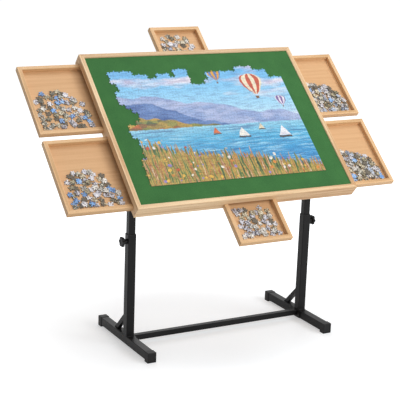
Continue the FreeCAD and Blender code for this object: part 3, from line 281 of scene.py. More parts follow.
class Painting:
    """Paint in layers on the print, over places s across it and t up it, from nought to one."""

    def __init__(self, add):
        self.add = add
        at = board_coords(add, PRINT_LEFT, PRINT_NEAR)
        # Colours wander a few millimetres, as brush strokes do.
        sway = add("TexNoise", {"Vector": at, "Scale": 55.0, "Detail": 3.0})["Color"]
        sway = add("VectorMath", (sway, (0.5,) * 3), operation="SUBTRACT")[0]
        at = add("VectorMath", (sway, (BRUSH_SWAY * MM,) * 3, at), operation="MULTIPLY_ADD")[0]
        share = (at, (PRINT_WIDTH * MM, PRINT_HEIGHT * MM, 1.0))
        self.place = add("VectorMath", share, operation="DIVIDE")[0]
        self.s, self.t = add("SeparateXYZ", (self.place,))[:2]
        self.paint = linear("#FFFFFF")

    def spread(self, across, up, offset=0.0):
        """The places, counted in so many cells across and up the print."""
        values = (self.place, (across, up, 0.0), (0.0, 0.0, offset))
        return self.add("VectorMath", values, operation="MULTIPLY_ADD")[0]

    def mottle(self, across, up, detail, offset):
        """Soft patches, so many across and up the print."""
        place = self.spread(across, up, offset)
        return self.add("TexNoise", {"Vector": place, "Scale": 1.0, "Detail": detail})[0]

    def mottled(self, stops, *patches):
        """Soft patches in several colours."""
        return self.add("ValToRGB", (self.mottle(*patches),), stops)[0]

    def streaks(self, low, high, *patches):
        """One in the middle of soft patches and nought between them."""
        limits = {"Value": self.mottle(*patches), "From Min": low, "From Max": high}
        return self.add("MapRange", limits)[0]

    def over(self, base, colour, mask):
        """One paint over another where the mask is one."""
        return self.add("Mix", {0: mask, 6: base, 7: colour}, data_type="RGBA")[2]

    def lay(self, colour, mask):
        """A layer over all that is painted so far."""
        self.paint = self.over(self.paint, colour, mask)

    def below(self, line, softness=0.006):
        """One under a line of the print and nought over it."""
        gap = self.add("Math", (line, self.t), operation="SUBTRACT")[0]
        values = (gap, 1 / softness, 0.5)
        return self.add("Math", values, operation="MULTIPLY_ADD", use_clamp=True)[0]

    def ridge(self, start, fall, rise, humps, offset):
        """The height of a hill's line across the print."""
        patches = self.mottle(humps, 0.0, 2.0, offset)
        hump = self.add("Math", (patches, 0.5), operation="SUBTRACT")[0]
        slope = self.add("Math", (self.s, fall, start), operation="MULTIPLY_ADD")[0]
        return self.add("Math", (hump, rise, slope), operation="MULTIPLY_ADD")[0]

    def block(self, across, half_width, up, middle, half_height):
        """One inside a small upright block and nought round it."""
        wide = self.add("Math", (across, 0.0, half_width), operation="COMPARE")[0]
        tall = self.add("Math", (up, middle, half_height), operation="COMPARE")[0]
        return self.add("Math", (wide, tall), operation="MULTIPLY")[0]


def paint_sky(art):
    """Sky that pales towards the hills, with long clouds."""
    stops = [(0.40, "#D6ECF6"), (0.62, "#A6D8F2"), (0.82, "#7FC6EE"), (1.0, "#63AEE4")]
    art.lay(art.add("ValToRGB", (art.t,), stops)[0], 1.0)
    tone = art.mottled([(0.4, "#C9C6E0"), (0.6, "#F4EEF2")], 7.0, 22.0, 3.0, 1.0)
    art.lay(tone, art.streaks(0.52, 0.66, 2.6, 7.5, 5.0, 4.2))


BALLOONS = (  # middle and radius in the print, with two colours
    (0.80, 0.80, 0.060, "#C8553A", "#F0E4C8"),
    (0.60, 0.90, 0.036, "#E0A33E", "#5C7FB8"),
    (0.93, 0.64, 0.028, "#E8E2EC", "#7A5FA0"),
)
# How tall a balloon is for its radius, how much wider it gets on its way up, its stripes, and
# its basket, in shares of the radius.
BALLOON_TALL, BALLOON_TAPER, BALLOON_STRIPES = 1.15, 0.9 / 2.2, 8.0
BASKET_DROP, BASKET_HALF, BASKET_HALF_TALL = 1.5, 0.16, 0.14


def paint_balloon(art, middle_s, middle_t, radius, first, second):
    """A striped balloon that narrows downwards, over a small basket."""
    add = art.add
    across = add("Math", (art.s, middle_s), operation="SUBTRACT")[0]
    up = add("Math", (art.t, middle_t), operation="SUBTRACT")[0]
    up = add("Math", (up, PRINT_HEIGHT / PRINT_WIDTH), operation="MULTIPLY")[0]
    girth = add("Math", (up, BALLOON_TAPER, radius), operation="MULTIPLY_ADD")[0]
    wide = add("Math", (across, girth), operation="DIVIDE")[0]
    tall = add("Math", (up, radius * BALLOON_TALL), operation="DIVIDE")[0]
    tall_squared = add("Math", (tall, tall), operation="MULTIPLY")[0]
    span = add("Math", (wide, wide, tall_squared), operation="MULTIPLY_ADD")[0]
    # The stripes bow out and meet at the top and the bottom.
    bow = add("Math", (1.02, tall_squared), operation="SUBTRACT")[0]
    bow = add("Math", (bow, 0.02), operation="MAXIMUM")[0]
    bow = add("Math", (bow,), operation="SQRT")[0]
    turn = add("Math", (wide, bow), operation="DIVIDE")[0]
    turn = add("Math", (turn, BALLOON_STRIPES), operation="MULTIPLY")[0]
    stripes = add("Math", (turn,), operation="SINE")[0]
    stripes = add("Math", (stripes, 0.0), operation="GREATER_THAN")[0]
    cloth = art.over(linear(first), linear(second), stripes)
    art.lay(cloth, add("Math", (span, 1.0), operation="LESS_THAN")[0])
    half, half_tall = radius * BASKET_HALF, radius * BASKET_HALF_TALL
    basket = art.block(across, half, up, -radius * BASKET_DROP, half_tall)
    art.lay(linear("#7A5230"), basket)


def paint_hills(art):
    """Two blue ranges, and a near hill with fields."""
    far = art.mottled([(0.38, "#8FA6D2"), (0.62, "#B4C0E0")], 9.0, 16.0, 4.0, 2.0)
    art.lay(far, art.below(art.ridge(0.78, -0.26, 0.30, 3.1, 7.7)))
    middle = art.mottled([(0.36, "#3F63A0"), (0.64, "#6E8FC4")], 8.0, 20.0, 5.0, 5.0)
    art.lay(middle, art.below(art.ridge(0.71, -0.42, 0.26, 3.7, 1.3)))
    plots = art.add("TexVoronoi", {"Vector": art.spread(22.0, 34.0), "Scale": 1.0})["Color"]
    crop = art.add("SeparateXYZ", (plots,))[0]
    green, olive, straw = (0.0, "#5D7040"), (0.25, "#8B8C45"), (0.5, "#C9A048")
    stops = [green, olive, straw, (0.75, "#47603F"), (1.0, "#B8602E")]
    fields = art.add("ValToRGB", (crop,), stops)[0]
    art.lay(fields, art.below(art.ridge(0.585, -0.28, 0.16, 5.3, 3.9)))


def paint_bay(art):
    """Water, lighter far out, with level ripples."""
    stops = [(0.0, "#2F7DBE"), (0.22, "#3C9BD0"), (0.36, "#55B2DA"), (0.45, "#8FCCE4")]
    water = art.add("ValToRGB", (art.t,), stops)[0]
    water = art.over(water, linear("#A9DDF0"), art.streaks(0.5, 0.72, 6.0, 75.0, 3.0, 9.0))
    water = art.over(water, linear("#2C5F9E"), art.streaks(0.56, 0.75, 4.0, 48.0, 3.0, 12.0))
    art.lay(water, art.below(0.452, 0.003))


BOATS = (  # foot of the mast, sail's height and colour
    (0.62, 0.350, 0.075, "#F4EFE6"),
    (0.74, 0.400, 0.045, "#E9D9B4"),
    (0.47, 0.385, 0.050, "#D9713F"),
    (0.86, 0.330, 0.085, "#F2F0F4"),
)
# In shares of the sail's height.
SAIL_HALF, HULL_HALF, HULL_DROP, HULL_HALF_TALL = 0.42, 0.45, 0.12, 0.09


def paint_boat(art, foot_s, foot_t, height, sail):
    """A sail that narrows upwards, over a dark hull."""
    add = art.add
    across = add("Math", (art.s, foot_s), operation="SUBTRACT")[0]
    up = add("Math", (art.t, foot_t), operation="SUBTRACT")[0]
    up = add("Math", (up, height), operation="DIVIDE")[0]
    foot = height * SAIL_HALF
    reach = add("Math", (up, -foot, foot), operation="MULTIPLY_ADD")[0]
    size = add("Math", (across,), operation="ABSOLUTE")[0]
    inside = add("Math", (size, reach), operation="LESS_THAN")[0]
    above = add("Math", (up, 0.0), operation="GREATER_THAN")[0]
    art.lay(linear(sail), add("Math", (inside, above), operation="MULTIPLY")[0])
    hull = art.block(across, height * HULL_HALF, up, -HULL_DROP, HULL_HALF_TALL)
    art.lay(linear("#4A3A34"), hull)


def paint_meadow(art):
    """Tall stalks in front, highest at the left, with flowers among them."""
    add = art.add
    crest = art.ridge(0.33, -0.24, 0.12, 4.1, 8.8)
    blades = add("Math", (art.mottle(120.0, 1.5, 1.0, 6.0), 0.5), operation="SUBTRACT")[0]
    tips = add("Math", (blades, 0.26, crest), operation="MULTIPLY_ADD")[0]
    shade, leaf, straw = (0.32, "#1F3420"), (0.43, "#5C7A3C"), (0.51, "#C9A650")
    stops = [shade, leaf, straw, (0.58, "#9C5027"), (0.70, "#F6E6B8")]
    art.lay(art.mottled(stops, 95.0, 5.0, 5.0, 3.0), art.below(tips, 0.004))
    bed = {"Vector": art.spread(34.0, 26.0), "Scale": 1.0, "Randomness": 0.9}
    bloom = add("TexVoronoi", bed)
    kind, size = add("SeparateXYZ", (bloom["Color"],))[:2]
    white, yellow, orange = (0.0, "#F3EBDD"), (0.3, "#E8B94A"), (0.6, "#D98A3A")
    stops = [white, yellow, orange, (0.75, "#9A86C4"), (0.9, "#C4512C")]
    petals = add("ValToRGB", (kind,), stops)[0]
    petals.node.color_ramp.interpolation = "CONSTANT"
    radius = add("Math", (size, 0.25, 0.12), operation="MULTIPLY_ADD")[0]
    in_bloom = add("Math", (bloom["Distance"], radius), operation="LESS_THAN")[0]
    reach = add("Math", (crest, 0.04), operation="ADD")[0]
    flowers = add("Math", (in_bloom, art.below(reach, 0.01)), operation="MULTIPLY")[0]
    art.lay(petals, flowers)


def painted_print():
    """The laid part's coated print, of a made-up seaside view: satin, in visible brush marks."""
    made, add = new_material("laid_jigsaw_print")
    art = Painting(add)
    paint_sky(art)
    for balloon in BALLOONS:
        paint_balloon(art, *balloon)
    paint_hills(art)
    paint_bay(art)
    for boat in BOATS:
        paint_boat(art, *boat)
    paint_meadow(art)
    # Brush marks are a few millimetres wide and lie mostly level.
    daubs = art.mottled([(0.36, "#E0E0EA"), (0.54, "#FFFFFF")], 16.0, 52.0, 4.0, 15.0)
    shaded = {0: 1.0, 6: art.paint, 7: daubs}
    paint = add("Mix", shaded, data_type="RGBA", blend_type="MULTIPLY")[2]
    coat = {"Value": art.mottle(60.0, 45.0, 2.0, 0.5), "To Min": 0.36, "To Max": 0.5}
    surface(add, paint, add("MapRange", coat)[0], art.mottle(160.0, 120.0, 2.0, 0.0), 0.03)
    return made


# ------------------------------------------------------------------ jigsaw pieces
CARD = 1.9
CARD_BEVEL = 0.3
CUT_GAP = 0.12
CORNER_SWAY = 0.5
FELT_TOP = -4
LAID_GAP = 0.01
# How many pieces each column is built up to, and how many are missing at the left of each row.
BUILT_UP = (
    [27] * 6 + [26] * 3 + [25] * 2 + [26] * 3 + [25] + [27] * 3 + [23] * 3
    + [24] + [26] * 7 + [27] * 4 + [26] * 3 + [24] * 3
)
MISSING_LEFT = [1] * 6 + [2] * 5 + [1] * 3 + [3, 4, 4, 3, 2] + [1] * 3 + [2, 2] + [1] * 4
# A tab's outline on a side of length 1: how far along, and how far out.
TAB = (
    (0.44, 0.0), (0.36, 0.14), (0.39, 0.25), (0.50, 0.30),
    (0.61, 0.25), (0.64, 0.14), (0.56, 0.0),
)
TAB_SLIDE, TAB_GROWTH = 0.04, 0.08


def side_points(start, end, bulge, chance):
    """Points from start up to but not including end, with a tab on the given side."""
    way = np.subtract(end, start)
    out = np.array((-way[1], way[0])) * bulge
    points = [np.array(start, float)]
    if bulge:
        slide = chance.uniform(-TAB_SLIDE, TAB_SLIDE)
        growth = chance.uniform(1 - TAB_GROWTH, 1 + TAB_GROWTH)
        for along, height in TAB:
            points.append(start + way * (along + slide) + out * height * growth)
    return points


def unit(ways):
    """Each of the ways, at a length of one."""
    return ways / np.maximum(np.linalg.norm(ways, axis=1), 1e-6)[:, None]


def drawn_in(points, amount):
    """The outline drawn in by so much, so that a cut shows between two pieces."""
    points = np.array(points)
    ahead = unit(np.roll(points, -1, axis=0) - points)
    ways = ahead + unit(points - np.roll(points, 1, axis=0))
    return points + unit(np.stack((-ways[:, 1], ways[:, 0]), axis=1)) * amount


def piece_outline(column, row):
    """The outline of the piece at a place of the grid, counter-clockwise. A corner's sway and a
    side's tab are drawn by their own place, so that the pieces on both sides share them."""

    def corner(c, r):
        chance = random.Random(c * 101 + r * 7)
        x = c * PITCH + (chance.uniform(-CORNER_SWAY, CORNER_SWAY) if 0 < c < COLUMNS else 0)
        y = r * PITCH + (chance.uniform(-CORNER_SWAY, CORNER_SWAY) if 0 < r < ROWS else 0)
        return np.array((x, y))

    def level(c, r):
        bulge = 0 if r in (0, ROWS) else (1 if (c + r) % 2 else -1)
        chance = random.Random(c * 991 + r * 31 + 5)
        return side_points(corner(c, r), corner(c + 1, r), bulge, chance)

    def upright(c, r):
        bulge = 0 if c in (0, COLUMNS) else (1 if (c + r) % 2 else -1)
        chance = random.Random(c * 577 + r * 17 + 9)
        return side_points(corner(c, r), corner(c, r + 1), bulge, chance)

    def back(points, last):
        return [last] + points[:0:-1]

    outline = level(column, row) + upright(column + 1, row)
    outline += back(level(column, row + 1), corner(column + 1, row + 1))
    outline += back(upright(column, row), corner(column, row + 1))
    return drawn_in(outline, CUT_GAP)


def new_object(name, data):
    item = bpy.data.objects.new(name, data)
    bpy.context.scene.collection.objects.link(item)
    return item


def select_only(*items):
    if bpy.context.object and bpy.context.object.mode != "OBJECT":
        bpy.ops.object.mode_set(mode="OBJECT")
    bpy.ops.object.select_all(action="DESELECT")
    for item in items:
        item.select_set(True)
    bpy.context.view_layer.objects.active = items[0]


def join_up(name, items):
    select_only(*items)
    bpy.ops.object.join()
    item = bpy.context.object
    item.name = name
    return item


def cut_card(name, outlines, materials):
    """Pieces punched from printed board: each outline is raised and its printed edge rolled."""
    points, faces = [], []
    for outline in outlines:
        faces.append(list(range(len(points), len(points) + len(outline))))
        points += [(x * MM, y * MM, 0) for x, y in outline]
    mesh = bpy.data.meshes.new(name)
    mesh.from_pydata(points, [], faces)
    item = new_object(name, mesh)
    select_only(item)
    bpy.ops.object.mode_set(mode="EDIT")
    bpy.ops.mesh.select_all(action="SELECT")
    bpy.ops.mesh.extrude_region_move(
        TRANSFORM_OT_translate={"value": (0, 0, (CARD - CARD_BEVEL) * MM)}
    )
    bpy.ops.mesh.inset(thickness=CARD_BEVEL * MM, depth=CARD_BEVEL * MM, use_individual=True)
    bpy.ops.mesh.select_all(action="SELECT")
    bpy.ops.mesh.normals_make_consistent(inside=False)
    bpy.ops.object.mode_set(mode="OBJECT")
    for material in materials:
        mesh.materials.append(material)
    # The print covers the top and its rolled edge.
    for face in mesh.polygons:
        face.material_index = 0 if face.normal.z > 0.3 else 1
        face.use_smooth = False
    return item


def laid_jigsaw():
    """All the laid pieces as one, a hair over the felt."""
    places = [
        (column, row)
        for column in range(COLUMNS)
        for row in range(ROWS)
        if row < BUILT_UP[column] and column >= MISSING_LEFT[row]
    ]
    outlines = [piece_outline(column, row) for column, row in places]
    item = cut_card("laid_jigsaw", outlines, [painted_print(), GREYBOARD_WITH_PAINTED_SHADE])
    item.data.transform(board_matrix(GRID_LEFT, PRINT_NEAR, FELT_TOP + LAID_GAP))
    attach(item, "board")
    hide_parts("puzzle")


GREYBOARD_WITH_PAINTED_SHADE = greyboard_with_painted_shade()
LOOSE_PRINT = loose_print()
laid_jigsaw()

# ------------------------------------------------------------------ loose pieces in the drawers
FLOOR_TOP = -39
KINDS = 9
# Loose pieces have lost their tight fit and are drawn a little smaller than the laid ones.
LOOSE_SHARE = 0.92
# The colours that a loose piece may have, and those of the strokes over them: bits of cloud and
# shore, of meadow, and of sky and water.
CLOUD = (
    ("#EAE6E6", "#7A7683"), ("#DEDBE2", "#4F4D58"), ("#F1EDE6", "#95897C"),
    ("#CDC9D0", "#5F5A60"), ("#E6DFD6", "#5E574B"), ("#C3C0C8", "#EFECEE"),
    ("#D9D4CC", "#3C3932"),
)
MEADOW = (
    ("#45402F", "#BEB08F"), ("#5E5140", "#DCCFAE"), ("#2E2B22", "#8B8062"),
    ("#7F6F54", "#E8DCC0"), ("#484639", "#D3CCBA"), ("#26241E", "#B3A384"),
)
WATER = (("#5C93D6", "#B9D6F0"), ("#7CAADD", "#3D5F94"), ("#4C7CC0", "#A5C5E6"))
HAZE = (("#93A2B8", "#DDE0E8"), ("#A7AFC0", "#4A505E"))
LEFT_COLOURS = 2 * CLOUD + 2 * MEADOW + 2 * WATER
RIGHT_COLOURS = 2 * CLOUD + 2 * MEADOW + 2 * HAZE + WATER[:1]
END_COLOURS = 3 * CLOUD + 2 * MEADOW + HAZE


def piece_kind(number):
    """One of the shapes of loose piece, centred on its own origin. A few may be border pieces,
    with one straight side."""
    chance = random.Random(number + 40)
    corners = np.array([(0, 0), (PITCH, 0), (PITCH, PITCH), (0, PITCH)], float)
    outline = []
    for index in range(4):
        last = 0 if index == 0 and number % 4 == 0 else 1
        bulge = chance.choice((-1, 1, 1, -1, last))
        outline += side_points(corners[index], corners[(index + 1) % 4], bulge, chance)
    outline = (np.array(outline) - PITCH / 2) * LOOSE_SHARE
    return cut_card(f"kind_{number}", [outline], [LOOSE_PRINT, GREYBOARD_WITH_PAINTED_SHADE])


kinds = [piece_kind(number) for number in range(KINDS)]

# A piece rests on points in rings of so many, from a first angle.
REST_POINTS = [
    (radius * math.cos(math.radians(angle)), radius * math.sin(math.radians(angle)))
    for radius, count, start in ((3.7, 4, 45), (8.3, 8, 0), (10.9, 8, 22))
    for angle in (start + 360 / count * step for step in range(count))
]
REST_GAP = 0.05
# Three points hold a piece if they span this much, twice their triangle in mm2, and no other
# point may stand over the piece's plane by more than the slack.
LEAST_SPAN, SLACK = 40, 0.02
# The cosine of the steepest lean, and the share of pieces that lie face down.
STEEPEST = 0.88
TURNED_OVER = 0.1
# What a piece covers: its square body, and its tabs in the middle of its sides.
BODY_HALF, TAB_HALF, TAB_REACH = 8.8, 2.2, 12.2
# The ground's cells, their margin round a heap, and how far out a piece may cover them.
CELL = 1.5
MARGIN = 20
COVER = 12
# Tries for each piece, places looked at in each try, and how much higher a heap may be after as
# many tries as it has pieces.
TRIES = 12
PLACES_TRIED = 9
HEAP_GROWTH = 0.5


def resting_plane(heights):
    """The lowest plane, as rise in x, rise in y and height at the middle, that clears the height
    at every rest point and is held up on three sides of the middle."""
    if not heights.any():
        return np.zeros(3)
    best = None
    count = len(REST_POINTS)
    system = np.column_stack((REST_POINTS, np.ones(count)))
    for i in range(count):
        for j in range(i + 1, count):
            for k in range(j + 1, count):
                rows = system[[i, j, k]]
                if abs(np.linalg.det(rows)) < LEAST_SPAN:
                    continue
                plane = np.linalg.solve(rows, heights[[i, j, k]])
                if best is not None and plane[2] >= best[2]:
                    continue
                if np.all(system @ plane >= heights - SLACK):
                    best = plane
    return best


def within(corners, u, v):
    """Whether a place is inside an outline."""
    hit = False
    for (u1, v1), (u2, v2) in zip(corners, corners[1:] + corners[:1]):
        if (v1 > v) != (v2 > v) and u < (u2 - u1) * (v - v1) / (v2 - v1) + u1:
            hit = not hit
    return hit


class Ground:
    """What the next piece falls on: heights over a drawer's floor, on a grid of small cells."""

    def __init__(self, us, vs):
        self.left, self.near = min(us) - MARGIN, min(vs) - MARGIN
        wide = int((max(us) + MARGIN - self.left) / CELL) + 1
        deep = int((max(vs) + MARGIN - self.near) / CELL) + 1
        self.heights = np.zeros((wide, deep))

    def under(self, u, v):
        """The heights at a piece's rest points."""
        wide, deep = self.heights.shape
        columns = [int((u + x - self.left) / CELL) for x, y in REST_POINTS]
        rows = [int((v + y - self.near) / CELL) for x, y in REST_POINTS]
        return self.heights[np.clip(columns, 0, wide - 1), np.clip(rows, 0, deep - 1)]

    def cover(self, u, v, spin, plane):
        """Raises what a piece covers to the piece's top."""

        def span(place, first, count):
            low, high = int((place - COVER - first) / CELL), int((place + COVER - first) / CELL)
            return range(max(0, low), min(count, high + 1))

        wide, deep = self.heights.shape
        for column in span(u, self.left, wide):
            for row in span(v, self.near, deep):
                x, y = self.left + column * CELL - u, self.near + row * CELL - v
                a = x * math.cos(spin) + y * math.sin(spin)
                b = -x * math.sin(spin) + y * math.cos(spin)
                small, large = sorted((abs(a), abs(b)))
                if large < BODY_HALF or (small < TAB_HALF and large < TAB_REACH):
                    top = plane[0] * x + plane[1] * y + plane[2] + CARD
                    self.heights[column, row] = max(self.heights[column, row], top)


def piece_at_rest(name, place, lean, spin, colours, chance):
    """A copy of one of the kinds, turned, leant and laid at its place, with its own colours."""
    turned_over = chance.random() < TURNED_OVER
    lift = Matrix.Translation((0, 0, CARD * MM if turned_over else 0))
    flip = Matrix.Rotation(math.pi if turned_over else 0, 4, "X")
    local = lean @ lift @ Matrix.Rotation(spin, 4, "Z") @ flip
    mesh = chance.choice(kinds).data.copy()
    mesh.transform(place @ local)
    for field, code in zip(("print_colour", "print_second"), chance.choice(colours)):
        painted = mesh.attributes.new(field, "FLOAT_COLOR", "POINT")
        painted.data.foreach_set("color", linear(code) * len(mesh.vertices))
    return new_object(name, mesh)


def heap(drawer, corners, count, colours, top_height, seed):
    """Tips loose pieces onto a drawer's floor: each comes to rest on what lies below it."""
    chance = random.Random(seed)
    us, vs = zip(*corners)
    ground = Ground(us, vs)
    pieces, taken = [], []
    for attempt in range(TRIES * count):
        if len(pieces) == count:
            break
        # A piece slides to the emptiest of a few places.
        places = []
        while len(places) < PLACES_TRIED:
            place = (chance.uniform(min(us), max(us)), chance.uniform(min(vs), max(vs)))
            if within(corners, *place):
                places.append(place)
        u, v = max(places, key=lambda at: min((math.dist(at, other) for other in taken), default=0))
        spin = chance.uniform(0, 2 * math.pi)
        heights = ground.under(u, v)
        # The heap grows a little higher as its pieces fail to find room.
        if heights.max() > top_height + attempt / count * HEAP_GROWTH:
            continue
        plane = resting_plane(heights)
        if plane is None:
            continue
        normal = Vector((-plane[0], -plane[1], 1)).normalized()
        if normal.z < STEEPEST:
            continue
        place = board_matrix(u, v, FLOOR_TOP + REST_GAP + plane[2])
        lean = Vector((0, 0, 1)).rotation_difference(normal).to_matrix().to_4x4()
        pieces.append(piece_at_rest(f"{drawer}_piece", place, lean, spin, colours, chance))
        taken.append((u, v))
        ground.cover(u, v, spin, plane)
    item = join_up(f"loose_pieces_{drawer}", pieces)
    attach(item, f"{drawer}_drawer")


# Each heap's outline on the board.
LEFT_FAR = [
    (-636, 43), (-462, 43), (-460, 150), (-500, 165),
    (-520, 190), (-560, 203), (-608, 198), (-636, 160),
]
LEFT_NEAR = [
    (-636, -279), (-460, -279), (-460, -240), (-472, -205), (-490, -165),
    (-520, -142), (-560, -140), (-605, -146), (-632, -190),
]
RIGHT_FAR = [(448, 43), (594, 43), (594, 95), (578, 128), (552, 158), (500, 172), (452, 172)]
RIGHT_NEAR = [
    (448, -279), (594, -279), (594, -225), (570, -180),
    (520, -156), (470, -150), (448, -165),
]
NEAR = [
    (-74, -350), (-30, -350), (-10, -372), (18, -350),
    (58, -350), (68, -400), (73, -463), (-74, -463),
]
FAR = [
    (-70, 346), (52, 346), (62, 385), (52, 418),
    (18, 436), (-30, 438), (-62, 425), (-72, 396),
]
HEAPS = (  # drawer, outline, pieces, colours, height up to which more may fall on it, and seed
    ("left_far", LEFT_FAR, 60, LEFT_COLOURS, 2.6, 3),
    ("left_near", LEFT_NEAR, 58, LEFT_COLOURS, 2.6, 8),
    ("right_far", RIGHT_FAR, 70, RIGHT_COLOURS, 3.8, 5),
    ("right_near", RIGHT_NEAR, 70, RIGHT_COLOURS, 3.8, 12),
    ("near", NEAR, 42, END_COLOURS, 2.6, 21),
    ("far", FAR, 25, END_COLOURS, 2.6, 6),
)
for each in HEAPS:
    heap(*each)
for kind in kinds:
    bpy.data.objects.remove(kind)


# ------------------------------------------------------------------ materials of the CAD nodes
def dress(material, *names):
    for name in names:
        slots = nodes[name].data.materials
        slots.clear()
        slots.append(material)


RAILS = (
    ("near", "u", RAIL_TONES, 310),
    ("far", "u", FAR_RAIL_TONES, 740),
    ("left", "v", RAIL_TONES, 125),
    ("right", "v", RAIL_TONES, 530),
)
for side, along, tones, shift in RAILS:
    dress(straight_wood(f"rail_beech_{side}", along, tones, shift=shift), f"rail_{side}")
dress(needled_felt(), "felt")
dress(straight_wood("birch_plywood", "u", PLY_TONES, 0.6), "top_panel", "bottom_panel")
dress(straight_wood("bare_pine", "v", PINE_TONES, 0.65), "dividers", "stop_block", "cleats")
dress(straight_wood("bare_pine_guides", "u", PINE_TONES, 0.65), "middle_guides", "edge_guides")

DRAWERS = ("left_far", "left_near", "right_far", "right_near", "near", "far")
FIRST_SHEET, SHEET_STEP = 200, 90
for index, drawer in enumerate(f"{place}_drawer" for place in DRAWERS):
    dress(tray_wood(drawer), f"{drawer}_walls")
    sheet = {"shift": FIRST_SHEET + SHEET_STEP * index, "pore": FAINT_PORE}
    ply = straight_wood(f"tray_plywood_{drawer}", "u", PLY_TONES, 0.5, **sheet)
    dress(ply, f"{drawer}_floor")

POWDER_COAT = powder_coat()
PLASTIC = moulded_plastic()
ZINC = zinc_plate("zinc_plated_steel")
THREAD = zinc_plate("zinc_plated_thread", 1.25)
dress(POWDER_COAT, "braces", "crossbar", "crossbar_plates", "crossbar_screws", "knob_bosses")
dress(PLASTIC, "foot_caps", "column_bushes", "column_plugs", "column_caps")
dress(ZINC, "pivot_bolts", "pivot_nuts", "lock_nuts", "spacer_washers", "bracket_screws")
for side in ("left", "right"):
    dress(POWDER_COAT, f"foot_tube_{side}", f"outer_column_{side}")
    dress(POWDER_COAT, f"inner_column_{side}", f"tilt_bracket_{side}")
    dress(PLASTIC, f"height_knob_{side}", f"lock_knob_{side}")
    dress(THREAD, f"height_stud_{side}", f"lock_stud_{side}")


# ------------------------------------------------------------------ screws and welds
TURNED_SIDES = 32
# Edges that turn by less than this look smooth.
CREASE = math.radians(32)


def turned_blank(name, profile):
    """A round blank, turned to a profile of radius and height, from its first end up."""
    bpy.ops.object.select_all(action="DESELECT")
    first, start = profile[0]
    bpy.ops.mesh.primitive_circle_add(
        vertices=TURNED_SIDES,
        radius=first * MM,
        fill_type="NGON",
        location=(0, 0, start * MM),
    )
    item = bpy.context.object
    item.name = name
    bpy.ops.object.transform_apply(location=True, rotation=False, scale=False)
    bpy.ops.object.mode_set(mode="EDIT")
    bpy.ops.mesh.select_all(action="SELECT")
    for (radius, height), (wider, higher) in zip(profile, profile[1:]):
        bpy.ops.mesh.extrude_region_move(
            TRANSFORM_OT_translate={"value": (0, 0, (higher - height) * MM)}
        )
        bpy.ops.transform.resize(value=(wider / radius, wider / radius, 1))
    bpy.ops.mesh.select_all(action="SELECT")
    bpy.ops.mesh.normals_make_consistent(inside=False)
    bpy.ops.object.mode_set(mode="OBJECT")
    return item


def prism(corners, radius, low, high):
    bpy.ops.object.select_all(action="DESELECT")
    bpy.ops.mesh.primitive_cylinder_add(
        vertices=corners,
        radius=radius * MM,
        depth=(high - low) * MM,
        location=(0, 0, (high + low) / 2 * MM),
    )
    return bpy.context.object


def cut_out(item, cutter):
    select_only(item)
    cut = item.modifiers.new("drive", "BOOLEAN")
    cut.operation, cut.object, cut.solver = "DIFFERENCE", cutter, "EXACT"
    bpy.ops.object.modifier_apply(modifier=cut.name)
    bpy.data.objects.remove(cutter)


def place_copies(item, name, places, material, body):
    """Joins a copy of a finished piece at each place into one piece that rides on a body."""
    copies = []
    for place in places:
        copy = new_object(name, item.data.copy())
        copy.data.transform(place)
        copies.append(copy)
    bpy.data.objects.remove(item)
    joined = join_up(name, copies)
    joined.data.materials.clear()
    joined.data.materials.append(material)
    bpy.ops.object.shade_smooth_by_angle(angle=CREASE)
    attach(joined, body)
    return joined


# M6 button heads hold the crossbar's plates; their hexagon socket is 4 mm across its flats.
BUTTON_SHANK, BUTTON_RADIUS = 12, 5.5
SOCKET_RADIUS, SOCKET_FLOOR, SOCKET_END = 2.31, 1.0, 4.0
BUTTON_PROFILE = [
    (2.4, -11.9), (3.0, -11.2), (3.0, 0.0), (BUTTON_RADIUS, 0.05),
    (BUTTON_RADIUS, 0.7), (5.1, 1.5), (4.3, 2.3), (3.1, 3.0),
]
button = turned_blank("button_screw", BUTTON_PROFILE)
cut_out(button, prism(6, SOCKET_RADIUS, SOCKET_FLOOR, SOCKET_END))
low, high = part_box("crossbar_screws")
button_places = []
for under_head, facing in ((low.x + BUTTON_SHANK * MM, 90), (high.x - BUTTON_SHANK * MM, -90)):
    for y in (low.y + BUTTON_RADIUS * MM, high.y - BUTTON_RADIUS * MM):
        at = Vector((under_head, y, (low.z + high.z) / 2))
        button_places.append(Matrix.Translation(at) @ Matrix.Rotation(math.radians(facing), 4, "Y"))
buttons = place_copies(button, "crossbar_button_screws", button_places, POWDER_COAT, "stand")
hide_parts("crossbar_screws")

# Pan-head wood screws hold the brackets to the cleats; two narrow wings cut their cross recess.
PAN_RADIUS, PAN_HEIGHT, SCREW_SPREAD = 4.2, 2.6, 150
WING_RADIUS, WING_NARROW, RECESS_FLOOR, RECESS_END = 2.6, 0.26, 1.2, 3.2
PAN_PROFILE = [
    (0.6, -12.9), (1.5, -10.8), (2.2, -9.0), (2.2, 0.0), (PAN_RADIUS, 0.05),
    (PAN_RADIUS, 1.0), (3.9, 1.8), (3.0, 2.4), (1.4, PAN_HEIGHT),
]
pan = turned_blank("pan_screw", PAN_PROFILE)
for turn in (0, 90):
    wing = prism(4, WING_RADIUS, RECESS_FLOOR, RECESS_END)
    wing.scale = (1.0, WING_NARROW, 1.0)
    wing.rotation_euler = (0, 0, math.radians(turn))
    bpy.ops.object.transform_apply(location=True, rotation=True, scale=True)
    cut_out(pan, wing)
low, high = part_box("bracket_screws")
